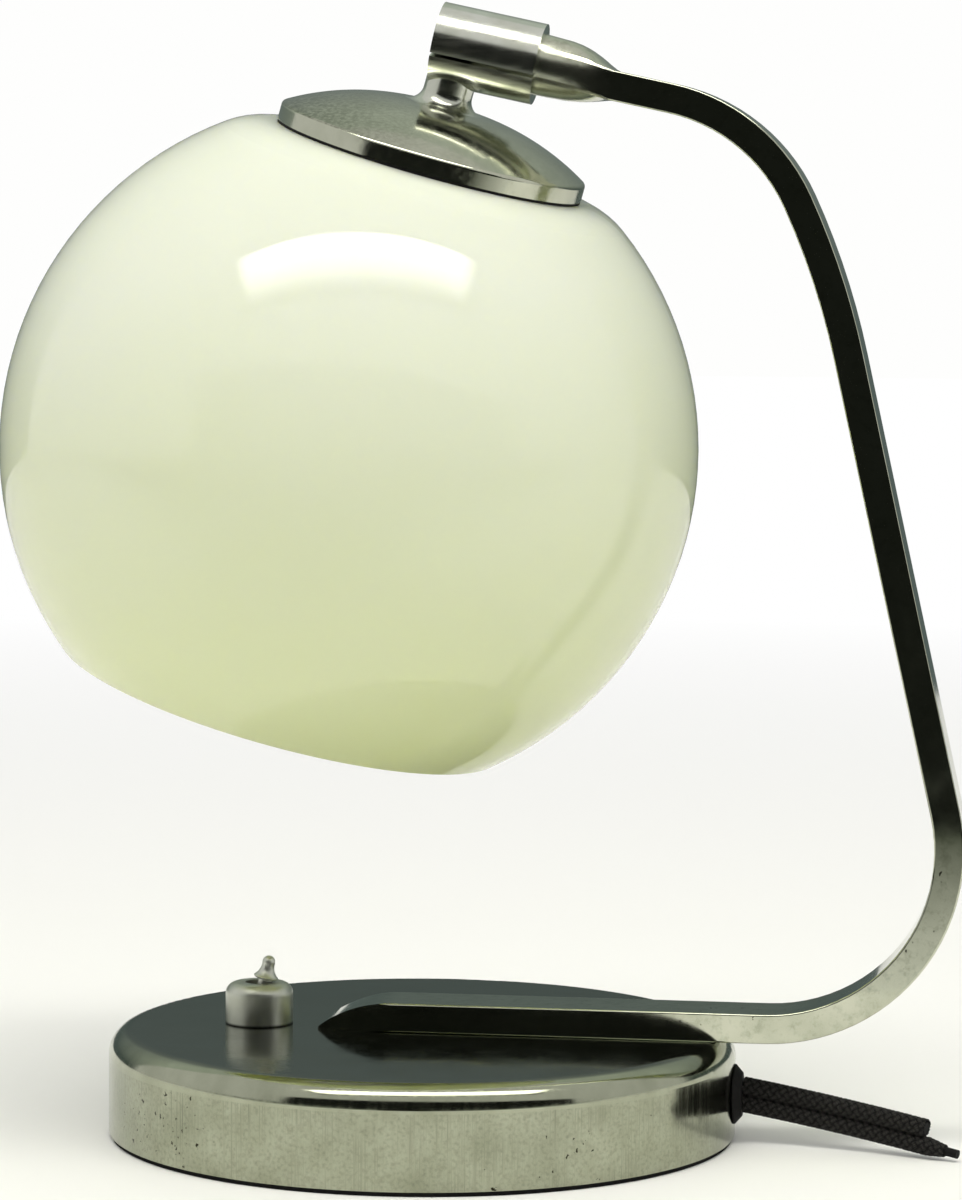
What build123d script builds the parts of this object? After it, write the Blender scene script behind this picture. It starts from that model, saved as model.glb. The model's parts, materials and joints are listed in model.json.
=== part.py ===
from build123d import *
import os
from math import acos, asin, cos, degrees, radians, sin, sqrt, tan

# Bedside lamp: an opal glass ball hangs from a bent arm that stands on a round drum base.
# Millimetres. The table is z = 0, the drum stands on the Z axis, the arm rises on the +X side
# and the front is -Y.

# Clearances
FIT = 0.1            # between fixed pieces that slide together
RUN = 0.05           # between a shaft and its bore
HOLE = 0.2           # round a screw or tube in a plain hole

# Drum base
BASE_R = 67.5
SHELL_H = 21.7
SHELL_WALL = 1.2
SHELL_EDGE_R = 5.0
FELT_T = 1.0
FELT_INSET = 0.6
PLATE_T = 1.0
PLATE_GAP = 0.3
WEIGHT_GAP = 0.8
WEB_T = 6.5
CHANNEL_W = 36.0
POCKET_R = 16.0
PLATE_SCREW_CIRCLE_R = 50.0
PLATE_SCREW_ANGLES = (90, 210, 330)
PLATE_SCREW_D = 4.0
PLATE_SCREW_HEAD_D = 7.0
PLATE_SCREW_L = 9.0

# Arm
HINGE_X = 6.8
HINGE_Z = 232.9
ARM_SLOPE = 12.0
TUBE_D = 13.0
ARM_WALL = 1.0
ARM_W = 15.2
ARM_T = 6.3
ARM_EDGE_R = 0.4
ARM_INNER_EDGE_R = 0.2   # least radius inside the flat tube's corners
FLAT_DROP = 1.0
ROUND_END = 18.4     # from the hinge point, along the arm
FLAT_START = 33.8
TAPER_STEPS = ((0.25, 0.04), (0.5, 0.17), (0.75, 0.5))   # shares of its length and of its flattening
TOP_RUN = 46.7
ARM_BEND_R = 38.4
TOP_TURN = 52.9
SWEEP_R = 160.0
SWEEP_TURN = 12.4
NOSE_TIP_X = -22.0
NOSE_L = 16.4
NOSE_TIP_T = 0.5
NOSE_TIP_W = 10.5
NOSE_SOLID = 4.0

# Arm fixing
FIXING_X = 20.0
NIPPLE_D = 10.0
NIPPLE_BORE = 6.4
NIPPLE_TAIL = 1.2
WASHER_D = 20.0
WASHER_T = 1.2
NUT_AF = 14.0
NUT_H = 4.0
LOCATOR_X = 3.0
LOCATOR_D = 4.0
LOCATOR_HEAD_D = 7.0
LOCATOR_HEAD_H = 2.6
BLOCK_L = 34.0
BLOCK_ROOF = 1.3     # block left above the locating screw

# Toggle switch
SWITCH_X = -35.8
COLLAR_D = 14.6
COLLAR_H = 8.9
COLLAR_EDGE_R = 2.4
COLLAR_TOP = 1.2
BUSH_D = 10.6
BUSH_BORE = 6.6
PANEL_NUT_AF = 16.0
PANEL_NUT_H = 2.5
SWITCH_L = 22.0
SWITCH_W = 16.0
SWITCH_H = 11.0
SWITCH_EDGE_R = 1.0
SWITCH_NECK = 2.0    # bush left bare between the body and the panel nut
PIVOT_BELOW = 6.2    # pivot below the collar's top
PIN_D = 1.6
LEVER_LEAN = 11.0
LEVER_L = 12.2       # pivot to tip
LEVER_BALL_D = 5.4
LEVER_STEM_D = 3.0
LEVER_SKIRT_D = 5.3
LEVER_RIM_R = 0.4
LEVER_SKIRT_RISE = 1.0   # skirt's underside above the collar's top, with the lever upright
LEVER_PLAY = 0.3         # round the leaning stem, in the collar's top
LEVER_WAIST_D = 3.1
LEVER_WAIST_AT = 9.2
LEVER_TIP_D = 2.8
LEVER_TAIL = 6.0
TERMINAL_D = 4.0
TERMINAL_H = 2.2
TERMINAL_PITCH = 12.0

# Cord and inner leads
CORD_Z = 10.4
CORE_D = 3.7
CORD_ROUTE = ((92.0, -2.5, 7.0), (113.3, -12.5, 3.9))
CORD_BEND_SHARE = 0.45   # of the shorter run, taken up by the bend
CORE_STEP = 5.0      # upper core cut short of the lower one
INNER_CORE_D = 1.9   # rubber sleeve that shows past the lower core's braid
INNER_CORE_L = 3.0
GROMMET_D = 10.4
GROMMET_FLANGE_D = 12.8
GROMMET_NOSE_D = 9.4
GROMMET_NOSE_L = 1.8
GROMMET_RIM_T = 0.3
GROMMET_BACK_T = 1.1
CLIP_BACK = 17.5     # clip's middle, inwards from the drum's side
CLIP_W = 7.0
CLIP_T = 1.0
CLIP_EAR = 6.5
CLIP_SCREW_D = 3.0
CLIP_SCREW_HEAD_D = 5.2
CLIP_SCREW_HEAD_H = 1.6
CLIP_SCREW_L = 4.0
SWITCH_LEAD_D = 4.4
SWITCH_LEAD_RUN = 6.5    # straight out of the clip, before the first bend
SWITCH_LEAD_Y = 12.0
SWITCH_LEAD_END_Y = 4.0
LEAD_D = 2.2
LEAD_Z = 6.5
LEAD_OFFSET = 0.9
LEAD_BEND_R = 3.0
LEAD_S_BEND_R = 30.0

# Knuckle
SLEEVE_D = 17.3
SLEEVE_BACK = 5.0
SLEEVE_FRONT = 17.3
SLEEVE_WALL_END = 2.0
SPIGOT_END = 3.8
SLIT_W = 0.8
SLIT_ANGLE = 15.0
POST_D = 10.6
POST_L = 13.1        # cap's top to the hinge's axis
POST_FLARE_R = 3.2
KEEPER_AT = 10.8
KEEPER_D = 2.5
KEEPER_TIP_L = 0.4
KEEPER_SLOT_W = 0.5
KEEPER_SLOT_DEPTH = 0.6
GROOVE_W = 3.2
GROOVE_DEPTH = 0.5

# Shade: heights are measured from the ball's centre along the shade's axis
SHADE_TILT = 15.8
SHADE_SWING = 3.6
GLASS_R = 75.0
GLASS_WALL = 3.0
MOUTH_DROP = 56.6
SHOULDER_R = 18.0
SHOULDER_ANGLE = 36.0
GLASS_HOLE_R = 20.0
GASKET_T = 0.6
CAP_R = 33.4
CAP_BAND = 3.6
CAP_H = 11.5
CAP_WALL = 1.2
CAP_BULGE = 1.5
CAP_CREASE_R = 1.0
CAP_SEAT_R = 9.0

# Lampholder, its fixing and the bulb
HOLDER_NIPPLE_D = 8.0
HOLDER_NIPPLE_BORE = 4.8
NIPPLE_GRIP = 4.6    # nipple inside the knuckle's post
CAP_NUT_AF = 13.0
CAP_NUT_H = 3.5
HOLDER_COLLAR_D = 14.0
HOLDER_COLLAR_H = 5.0
HOLDER_R = 19.2
HOLDER_WALL = 0.9
HOLDER_DOME_H = 6.0
HOLDER_L = 47.5
LOWER_GASKET_T = 1.0
LOWER_GASKET_R = 29.0
DISC_R = 30.0
DISC_T = 1.0
RING_R = 25.5
RING_H = 4.5
INSERT_DROP = 15.5   # top of the porcelain below the holder's top
INSERT_H = 16.0
RECESS_DEPTH = 5.0
SCREW_SHELL_R = 13.9
SCREW_SHELL_WALL = 0.5
SCREW_SHELL_L = 21.0
CONTACT_D = 8.0
CONTACT_T = 2.0
TERMINAL_SCREW_D = 3.2
TERMINAL_SCREW_H = 2.5
TERMINAL_SCREW_R = 11.0
BULB_TIP_D = 9.0
BULB_TIP_T = 2.0
BULB_CAP_D = 26.2
BULB_CAP_L = 22.0
BULB_CAP_WALL = 0.4
BULB_CAP_CHAMFER = 2.0
BULB_CAP_END = 4.0
BULB_R = 26.0
BULB_L = 66.0
BULB_WALL = 1.0
BULB_NECK_IN = 10.0
BULB_JOIN = 30.0     # angle above the bulb's middle where its round end begins

# Heights in the base
BASE_TOP = FELT_T + SHELL_H
SHELL_UNDER = BASE_TOP - SHELL_WALL
PLATE_TOP = FELT_T + PLATE_T
CEILING = SHELL_UNDER - WEB_T
FOOT_Z = BASE_TOP + ARM_T / 2
FOOT_FLOOR = BASE_TOP + ARM_WALL
NOSE_ROOT_X = NOSE_TIP_X + NOSE_L
HOLLOW_X = NOSE_ROOT_X + NOSE_SOLID
LEAD_FOOT_Z = FOOT_Z + LEAD_OFFSET
NIPPLE_TOP = LEAD_FOOT_Z - LEAD_D / 2 - HOLE
COLLAR_TOP_Z = BASE_TOP + COLLAR_H
PIVOT_Z = COLLAR_TOP_Z - PIVOT_BELOW
SWITCH_TOP = SHELL_UNDER - PANEL_NUT_H - SWITCH_NECK

# Places in the base; the cord leaves along +X at CORD_EXIT, whose own X points up
PLATE_SCREW_SPOTS = [Rot(0, 0, angle) * Pos(PLATE_SCREW_CIRCLE_R, 0, 0) for angle in PLATE_SCREW_ANGLES]
CLIP_X = BASE_R - CLIP_BACK
CLIP_SCREW_SPOTS = [Pos(CLIP_X, side * CLIP_EAR, 0) for side in (-1, 1)]
CORD_H = 2 * CORE_D
CORD_FACE_X = BASE_R + GROMMET_NOSE_L
CORD_EXIT = Plane(origin=(BASE_R, 0, CORD_Z), x_dir=(0, 0, 1), z_dir=(1, 0, 0))
GROMMET_INSIDE = -SHELL_WALL - PLATE_GAP   # where the grommet's inner flange starts, from CORD_EXIT

# Heights on the shade's axis
GLASS_TOP = (GLASS_R - SHOULDER_R) * cos(radians(SHOULDER_ANGLE)) + SHOULDER_R
RIM_H = GLASS_TOP + GASKET_T
SEAT_H = RIM_H + CAP_H
HANG = SEAT_H + POST_L
HOLDER_TOP = SEAT_H - CAP_WALL - CAP_NUT_H
INSERT_TOP = HOLDER_TOP - INSERT_DROP
RECESS_H = INSERT_TOP - INSERT_H + RECESS_DEPTH
DISC_TOP = GLASS_TOP - GLASS_WALL - LOWER_GASKET_T
BULB_TIP_H = RECESS_H - CONTACT_T
BULB_CAP_TOP = BULB_TIP_H - BULB_TIP_T
BULB_NECK_H = BULB_CAP_TOP - BULB_CAP_L

# Frames: the sleeve's axis carries the shade's hinge, the shade's axis crosses it
SLOPE = radians(ARM_SLOPE)
TILT = radians(SHADE_TILT)
HINGE = Vector(HINGE_X, 0, HINGE_Z)
ALONG_ARM = Vector(cos(SLOPE), 0, -sin(SLOPE))
SHADE_UP = Vector(sin(TILT), 0, cos(TILT))
HINGE_AXIS = Axis(HINGE, ALONG_ARM)
SLEEVE = Plane(origin=HINGE, x_dir=(0, 1, 0), z_dir=ALONG_ARM)
SHADE = Plane(origin=HINGE - SHADE_UP * HANG, x_dir=(cos(TILT), 0, -sin(TILT)), z_dir=SHADE_UP)


def save(name, shape):
    """Write one node, as a single solid or a group of solids."""
    solids = shape.solids()
    export_step(solids[0] if len(solids) == 1 else Compound(children=solids), f"parts/{name}.step")


def swing(shape):
    """Turn a piece of the shade about the sleeve to where it hangs."""
    return shape.rotate(HINGE_AXIS, SHADE_SWING)


def in_shade(shape):
    return swing(SHADE * shape)


def disc(radius, bottom, top):
    return Pos(0, 0, bottom) * extrude(Circle(radius), top - bottom)


def ring(outer, inner, bottom, top):
    return Pos(0, 0, bottom) * extrude(Circle(outer) - Circle(inner), top - bottom)


def hex_nut(across_flats, bore, bottom, top):
    outline = RegularPolygon(across_flats / 2, 6, major_radius=False) - Circle(bore / 2)
    return Pos(0, 0, bottom) * extrude(outline, top - bottom)


def turned(edges):
    """Revolve an outline, drawn as radius and height, about the Z axis."""
    return revolve(Plane.XZ * make_face(edges), Axis.Z)


def box_between(x0, x1, y0, y1, z0, z1):
    centre = Pos((x0 + x1) / 2, (y0 + y1) / 2, (z0 + z1) / 2)
    return centre * Box(x1 - x0, y1 - y0, z1 - z0)


def screw(shank_d, shank_l, head_d, head_h):
    """A plain screw that points up, with its head's underside at z = 0."""
    return disc(shank_d / 2, 0, shank_l) + disc(head_d / 2, -head_h, 0)


# Paths in the XZ plane: a step is (0, length) for a straight run or (radius, turn) for an arc,
# where a positive turn is clockwise as seen from the front.
def arc_centre(x, z, heading, radius, turn):
    reach = radius if turn > 0 else -radius
    return x + reach * sin(radians(heading)), z - reach * cos(radians(heading))


def advance(x, z, heading, radius, amount):
    if radius == 0:
        return x + amount * cos(radians(heading)), z + amount * sin(radians(heading)), heading
    centre_x, centre_z = arc_centre(x, z, heading, radius, amount)
    reach = radius if amount > 0 else -radius
    heading -= amount
    return centre_x - reach * sin(radians(heading)), centre_z + reach * cos(radians(heading)), heading


def bent_bar(section, x, z, heading, steps):
    """Carry a section along straight runs and arcs, with its own Y pointing to the path's left."""
    bar = Part()
    for radius, amount in steps:
        direction = (cos(radians(heading)), 0, sin(radians(heading)))
        face = Plane(origin=(x, 0, z), x_dir=(0, 1, 0), z_dir=direction) * section
        if radius == 0:
            bar += extrude(face, amount)
        else:
            centre_x, centre_z = arc_centre(x, z, heading, radius, amount)
            side = 1 if amount > 0 else -1
            bar += revolve(face, Axis((centre_x, 0, centre_z), (0, side, 0)), abs(amount))
        x, z, heading = advance(x, z, heading, radius, amount)
    return bar


# Where the arm's flat part goes
TOP_SWEEP = ((0, TOP_RUN - FLAT_START), (ARM_BEND_R, TOP_TURN), (SWEEP_R, SWEEP_TURN))
RISER_HEADING = -(ARM_SLOPE + TOP_TURN + SWEEP_TURN)
FLAT_POINT = HINGE + ALONG_ARM * FLAT_START - Vector(sin(SLOPE), 0, cos(SLOPE)) * FLAT_DROP


def riser_top():
    x, z, heading = FLAT_POINT.X, FLAT_POINT.Z, -ARM_SLOPE
    for radius, amount in TOP_SWEEP:
        x, z, heading = advance(x, z, heading, radius, amount)
    return x, z


def riser_length():
    low_z = FOOT_Z + ARM_BEND_R * (1 + cos(radians(RISER_HEADING)))
    return (riser_top()[1] - low_z) / -sin(radians(RISER_HEADING))


FOOT_TURN = 180 + RISER_HEADING


def foot_bend_end():
    x, z = riser_top()
    x, z, heading = advance(x, z, RISER_HEADING, 0, riser_length())
    return advance(x, z, heading, ARM_BEND_R, FOOT_TURN)[0]


def flat_steps(end_x):
    return TOP_SWEEP + ((0, riser_length()), (ARM_BEND_R, FOOT_TURN), (0, foot_bend_end() - end_x))


# Arm
SIDE_ANGLE = 24      # half of the circle's arc that becomes a narrow side
CORNER_ANGLE = 10    # arc that becomes a corner


def eight_sided(points, middles, flat):
    """Close eight arcs through points and middles; in a flat outline every second one is straight."""
    edges = []
    for index, middle in enumerate(middles):
        start = points[index]
        end = points[(index + 1) % 8]
        straight = flat and index % 2 == 0
        edges.append(Line(start, end) if straight else ThreePointArc(start, middle, end))
    return make_face(edges)


def round_outline(radius):
    """Points and middles of the round tube's outline."""
    def at(angle):
        return radius * cos(radians(angle)), radius * sin(radians(angle))

    half = (-SIDE_ANGLE, SIDE_ANGLE, SIDE_ANGLE + CORNER_ANGLE, 180 - SIDE_ANGLE - CORNER_ANGLE)
    angles = half + tuple(angle + 180 for angle in half)
    ends = angles[1:] + (angles[0] + 360,)
    return [at(a) for a in angles], [at((a + b) / 2) for a, b in zip(angles, ends)]


def flat_outline(width, height, corner):
    """Points and middles of the flat tube's outline, in the same order."""
    x = width / 2
    y = height / 2
    slack = corner * (1 - sqrt(0.5))
    points = [(x, corner - y), (x, y - corner), (x - corner, y), (corner - x, y)]
    points += [(-px, -py) for px, py in points]
    middles = [(x, 0), (x - slack, y - slack), (0, y), (slack - x, y - slack)]
    middles += [(-px, -py) for px, py in middles]
    return points, middles


def between(first, second, share):
    return [(ax + share * (bx - ax), ay + share * (by - ay)) for (ax, ay), (bx, by) in zip(first, second)]


def arm_body(shrink, start, end_x):
    """The arm's round part, its taper and its flat part, smaller all round by shrink."""
    radius = TUBE_D / 2 - shrink
    width = ARM_W - 2 * shrink
    height = ARM_T - 2 * shrink
    corner = max(ARM_EDGE_R - shrink, ARM_INNER_EDGE_R)
    round_part = SLEEVE * disc(radius, start, ROUND_END)
    round_points, round_middles = round_outline(radius)
    flat_points, flat_middles = flat_outline(width, height, corner)
    sections = []
    for along, share in ((0, 0),) + TAPER_STEPS + ((1, 1),):
        points = between(round_points, flat_points, share)
        middles = between(round_middles, flat_middles, share)
        place = Pos(0, -FLAT_DROP * share, ROUND_END + along * (FLAT_START - ROUND_END))
        sections.append(SLEEVE * place * eight_sided(points, middles, share == 1))
    taper = loft(sections)
    flat = bent_bar(
        RectangleRounded(width, height, corner), FLAT_POINT.X, FLAT_POINT.Z, -ARM_SLOPE, flat_steps(end_x)
    )
    return round_part + taper + flat


def arm_nose():
    """Bullet end of the foot: arcs fall to the tip in side view and in plan."""
    half = ARM_W / 2
    tip_half = NOSE_TIP_W / 2
    root_end = Plane(origin=(NOSE_ROOT_X, 0, FOOT_Z), x_dir=(0, 1, 0), z_dir=(-1, 0, 0))
    bar = extrude(root_end * RectangleRounded(ARM_W, ARM_T, ARM_EDGE_R), NOSE_L)
    root_top = (NOSE_ROOT_X, BASE_TOP + ARM_T)
    tip_top = (NOSE_TIP_X, BASE_TOP + NOSE_TIP_T)
    side = Plane.XZ * make_face(
        [
            TangentArc(root_top, tip_top, tangent=(-1, 0)),
            Polyline(tip_top, (NOSE_TIP_X, BASE_TOP), (NOSE_ROOT_X, BASE_TOP), root_top),
        ]
    )
    plan = make_face(
        [
            TangentArc((NOSE_ROOT_X, half), (NOSE_TIP_X, tip_half), tangent=(-1, 0)),
            Line((NOSE_TIP_X, tip_half), (NOSE_TIP_X, -tip_half)),
            TangentArc((NOSE_ROOT_X, -half), (NOSE_TIP_X, -tip_half), tangent=(-1, 0)),
            Line((NOSE_ROOT_X, -half), (NOSE_ROOT_X, half)),
        ]
    )
    upright = Pos(0, 0, BASE_TOP) * extrude(plan, ARM_T)
    return bar & extrude(side, ARM_W, both=True) & upright


def make_arm():
    tube = arm_body(0, SPIGOT_END, NOSE_ROOT_X) + arm_nose()
    tube -= arm_body(ARM_WALL, SPIGOT_END, HOLLOW_X)
    groove = ring(TUBE_D, TUBE_D / 2 - GROOVE_DEPTH, KEEPER_AT - GROOVE_W / 2, KEEPER_AT + GROOVE_W / 2)
    tube -= SLEEVE * groove
    tube -= Pos(FIXING_X, 0, 0) * disc(NIPPLE_D / 2 + HOLE, BASE_TOP, FOOT_FLOOR)
    tube -= Pos(LOCATOR_X, 0, 0) * disc(LOCATOR_D / 2 + HOLE, BASE_TOP, FOOT_FLOOR)
    return tube


# Base
def make_shell():
    outer = fillet(disc(BASE_R, FELT_T, BASE_TOP).edges().sort_by(Axis.Z)[-1], SHELL_EDGE_R)
    inner = disc(BASE_R - SHELL_WALL, FELT_T, SHELL_UNDER)
    inner = fillet(inner.edges().sort_by(Axis.Z)[-1], SHELL_EDGE_R - SHELL_WALL)
    shell = outer - inner
    shell -= Pos(SWITCH_X, 0, 0) * disc(BUSH_D / 2 + HOLE, SHELL_UNDER, BASE_TOP)
    shell -= Pos(FIXING_X, 0, 0) * disc(NIPPLE_D / 2 + HOLE, SHELL_UNDER, BASE_TOP)
    shell -= Pos(LOCATOR_X, 0, 0) * disc(LOCATOR_D / 2 + HOLE, SHELL_UNDER, BASE_TOP)
    shell -= CORD_EXIT * disc(GROMMET_D / 2 + FIT, -BASE_R / 2, BASE_R / 2)
    return shell


def make_weight():
    radius = BASE_R - SHELL_WALL - WEIGHT_GAP
    weight = disc(radius, PLATE_TOP, SHELL_UNDER)
    weight = fillet(weight.edges().sort_by(Axis.Z)[-1], SHELL_EDGE_R - SHELL_WALL + WEIGHT_GAP)
    half = CHANNEL_W / 2
    weight -= box_between(SWITCH_X, BASE_R, -half, half, PLATE_TOP, CEILING)
    weight -= Pos(SWITCH_X, 0, 0) * disc(half, PLATE_TOP, CEILING)
    weight -= Pos(SWITCH_X, 0, 0) * disc(POCKET_R, CEILING, SHELL_UNDER)
    weight -= Pos(FIXING_X, 0, 0) * disc(NIPPLE_D / 2 + HOLE, CEILING, SHELL_UNDER)
    weight -= Pos(LOCATOR_X, 0, 0) * disc(LOCATOR_D / 2 + HOLE, CEILING, SHELL_UNDER)
    for spot in PLATE_SCREW_SPOTS:
        weight -= spot * disc(PLATE_SCREW_D / 2 + FIT, PLATE_TOP, PLATE_TOP + PLATE_SCREW_L + HOLE)
    weight -= CORD_EXIT * disc(GROMMET_FLANGE_D / 2 + HOLE, GROMMET_INSIDE - GROMMET_BACK_T - HOLE, 0)
    for spot in CLIP_SCREW_SPOTS:
        weight -= spot * disc(CLIP_SCREW_D / 2 + FIT, CEILING, CEILING + CLIP_SCREW_L)
    return weight


def make_plate():
    plate = disc(BASE_R - SHELL_WALL - PLATE_GAP, FELT_T, PLATE_TOP)
    for spot in PLATE_SCREW_SPOTS:
        plate -= spot * disc(PLATE_SCREW_HEAD_D / 2 + FIT, FELT_T, PLATE_TOP)
    return plate


def make_plate_screws():
    one = screw(PLATE_SCREW_D, PLATE_SCREW_L, PLATE_SCREW_HEAD_D, PLATE_T)
    return Part() + [spot * Pos(0, 0, PLATE_TOP) * one for spot in PLATE_SCREW_SPOTS]


# Arm fixing
def make_block():
    half_w = ARM_W / 2 - ARM_WALL - FIT - HOLE
    half_t = ARM_T / 2 - ARM_WALL - FIT
    top = FOOT_Z + half_t
    start_x = HOLLOW_X + FIT
    end_x = start_x + BLOCK_L
    block = box_between(start_x, end_x, -half_w, half_w, FOOT_FLOOR, top)
    block -= Pos(FIXING_X, 0, 0) * disc(NIPPLE_D / 2 + FIT, FOOT_FLOOR, NIPPLE_TOP)
    groove_half = LEAD_D / 2 + HOLE
    block -= box_between(FIXING_X - groove_half, end_x, -groove_half, groove_half, NIPPLE_TOP, top)
    block -= Pos(LOCATOR_X, 0, 0) * disc(LOCATOR_D / 2 + FIT, FOOT_FLOOR, top - BLOCK_ROOF)
    return block


def make_nipple():
    bottom = CEILING - WASHER_T - NUT_H - NIPPLE_TAIL
    return Pos(FIXING_X, 0, 0) * ring(NIPPLE_D / 2, NIPPLE_BORE / 2, bottom, NIPPLE_TOP)


def make_washer():
    return Pos(FIXING_X, 0, 0) * ring(WASHER_D / 2, NIPPLE_D / 2 + HOLE, CEILING - WASHER_T, CEILING)


def make_nut():
    top = CEILING - WASHER_T
    return Pos(FIXING_X, 0, 0) * hex_nut(NUT_AF, NIPPLE_D + 2 * RUN, top - NUT_H, top)


def make_locator():
    length = FOOT_Z + ARM_T / 2 - ARM_WALL - FIT - BLOCK_ROOF - CEILING - FIT
    return Pos(LOCATOR_X, 0, CEILING) * screw(LOCATOR_D, length, LOCATOR_HEAD_D, LOCATOR_HEAD_H)


# Toggle switch
def at_switch(shape):
    return Pos(SWITCH_X, 0, 0) * shape


def pin_hole(diameter):
    return Pos(0, 0, PIVOT_Z) * Rot(90, 0, 0) * Cylinder(diameter / 2, COLLAR_D)


def make_collar():
    collar = disc(COLLAR_D / 2, BASE_TOP, COLLAR_TOP_Z)
    collar = fillet(collar.edges().sort_by(Axis.Z)[-1], COLLAR_EDGE_R)
    collar -= disc(BUSH_D / 2 + RUN, BASE_TOP, COLLAR_TOP_Z - COLLAR_TOP)
    lean = radians(LEVER_LEAN)
    stem_reach = PIVOT_BELOW * tan(lean) + LEVER_STEM_D / 2 / cos(lean)
    collar -= disc(stem_reach + LEVER_PLAY, PIVOT_Z, COLLAR_TOP_Z)
    return at_switch(collar)


def make_bush():
    bush = ring(BUSH_D / 2, BUSH_BORE / 2, SWITCH_TOP, COLLAR_TOP_Z - COLLAR_TOP)
    return at_switch(bush - pin_hole(PIN_D + 2 * RUN))


def make_pin():
    return at_switch(Pos(0, 0, PIVOT_Z) * Rot(90, 0, 0) * Cylinder(PIN_D / 2, BUSH_D - 2 * FIT))


def make_panel_nut():
    return at_switch(hex_nut(PANEL_NUT_AF, BUSH_D + 2 * RUN, SHELL_UNDER - PANEL_NUT_H, SHELL_UNDER))


def make_switch_body():
    half_l = SWITCH_L / 2
    half_w = SWITCH_W / 2
    body = box_between(-half_l, half_l, -half_w, half_w, SWITCH_TOP - SWITCH_H, SWITCH_TOP)
    return at_switch(fillet(body.edges().filter_by(Axis.Z), SWITCH_EDGE_R))


def make_terminals():
    low = SWITCH_TOP - SWITCH_H
    one = disc(TERMINAL_D / 2, low - TERMINAL_H, low)
    spots = [Pos(0, side * TERMINAL_PITCH / 2, 0) for side in (-1, 1)]
    return at_switch(Part() + [spot * one for spot in spots])


def make_lever():
    """Turned lever, drawn upright about its pivot and then leaned to its rest."""
    stem_r = LEVER_STEM_D / 2
    skirt_r = LEVER_SKIRT_D / 2
    skirt_h = PIVOT_BELOW + LEVER_SKIRT_RISE
    slack = LEVER_RIM_R * (1 - sqrt(0.5))
    rim_in = (skirt_r - LEVER_RIM_R, skirt_h)
    rim_out = (skirt_r, skirt_h + LEVER_RIM_R)
    tip_r = LEVER_TIP_D / 2
    tip_start = (tip_r, LEVER_L - tip_r)
    outline = [
        Polyline((0, -LEVER_TAIL), (stem_r, -LEVER_TAIL), (stem_r, skirt_h), rim_in),
        ThreePointArc(rim_in, (skirt_r - slack, skirt_h + slack), rim_out),
        Spline(rim_out, (LEVER_WAIST_D / 2, LEVER_WAIST_AT), tip_start),
        ThreePointArc(tip_start, (tip_r * sqrt(0.5), LEVER_L - tip_r * (1 - sqrt(0.5))), (0, LEVER_L)),
        Line((0, LEVER_L), (0, -LEVER_TAIL)),
    ]
    lever = turned(outline) + Sphere(LEVER_BALL_D / 2)
    lever -= Rot(90, 0, 0) * Cylinder(PIN_D / 2 + RUN, LEVER_BALL_D)
    return Pos(SWITCH_X, 0, PIVOT_Z) * Rot(0, LEVER_LEAN, 0) * lever


# Cord, grommet and leads
def twin_section(grow):
    """Two cores one above the other, drawn with its long side on X."""
    return SlotOverall(CORD_H + 2 * grow, CORE_D + 2 * grow)


def cord_path():
    exit_point = Vector(CORD_FACE_X, 0, CORD_Z)
    points = [exit_point] + [Vector(*point) for point in CORD_ROUTE]
    first = points[1] - points[0]
    points[0] = exit_point - first.normalized() * CORE_D
    second = points[2] - points[1]
    turn = first.get_angle(second)
    radius = CORD_BEND_SHARE * min(first.length, second.length) / tan(radians(turn / 2))
    print("cord bend radius", round(radius, 1))
    return FilletPolyline(points, radius=radius)


def make_cord():
    path = cord_path()
    start = Plane(origin=path @ 0, x_dir=(0, 0, 1), z_dir=path % 0)
    cord = sweep(start * twin_section(0), path=path)
    end = Plane(origin=path @ 1, x_dir=(0, 0, 1), z_dir=path % 1)
    cord -= end * box_between(0, CORD_H, -CORE_D, CORE_D, -CORE_STEP, CORE_STEP)
    cord -= box_between(0, CORD_FACE_X, -CORD_H, CORD_H, CORD_Z - CORD_H, CORD_Z + CORD_H)
    return cord


def make_inner_core():
    path = cord_path()
    end = Plane(origin=path @ 1, x_dir=(0, 0, 1), z_dir=path % 1)
    return end * Pos(-CORE_D / 2, 0, 0) * disc(INNER_CORE_D / 2, 0, INNER_CORE_L)


def make_grommet():
    flange = GROMMET_FLANGE_D / 2
    nose = GROMMET_NOSE_D / 2
    back = GROMMET_INSIDE - GROMMET_BACK_T
    length = GROMMET_NOSE_L
    cone = Polyline((0, 0), (flange, 0), (flange, GROMMET_RIM_T), (nose, length), (0, length), (0, 0))
    grommet = turned([cone]) + disc(GROMMET_D / 2, GROMMET_INSIDE, 0) + disc(flange, back, GROMMET_INSIDE)
    grommet -= extrude(Pos(0, 0, back) * twin_section(FIT), length - back)
    return CORD_EXIT * grommet


def make_base_lead():
    """The flex inside the drum, up to the clip."""
    reach = CLIP_X - CLIP_W / 2 - CORD_FACE_X
    return CORD_EXIT * extrude(Pos(0, 0, GROMMET_NOSE_L) * twin_section(0), reach)


def make_clip():
    """Saddle under the flex, with an ear on each side against the weight's web."""
    half = CORE_D / 2 + FIT
    low = CORD_Z - CORD_H / 2 - FIT
    x0 = CLIP_X - CLIP_W / 2
    x1 = CLIP_X + CLIP_W / 2
    ear = CLIP_EAR + CLIP_SCREW_HEAD_D / 2
    clip = box_between(x0, x1, -half - CLIP_T, half + CLIP_T, low - CLIP_T, CEILING)
    clip += box_between(x0, x1, -ear, ear, CEILING - CLIP_T, CEILING)
    clip -= box_between(x0, x1, -half, half, low, CEILING)
    for spot in CLIP_SCREW_SPOTS:
        clip -= spot * disc(CLIP_SCREW_D / 2 + FIT, CEILING - CLIP_T, CEILING)
    return clip


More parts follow.
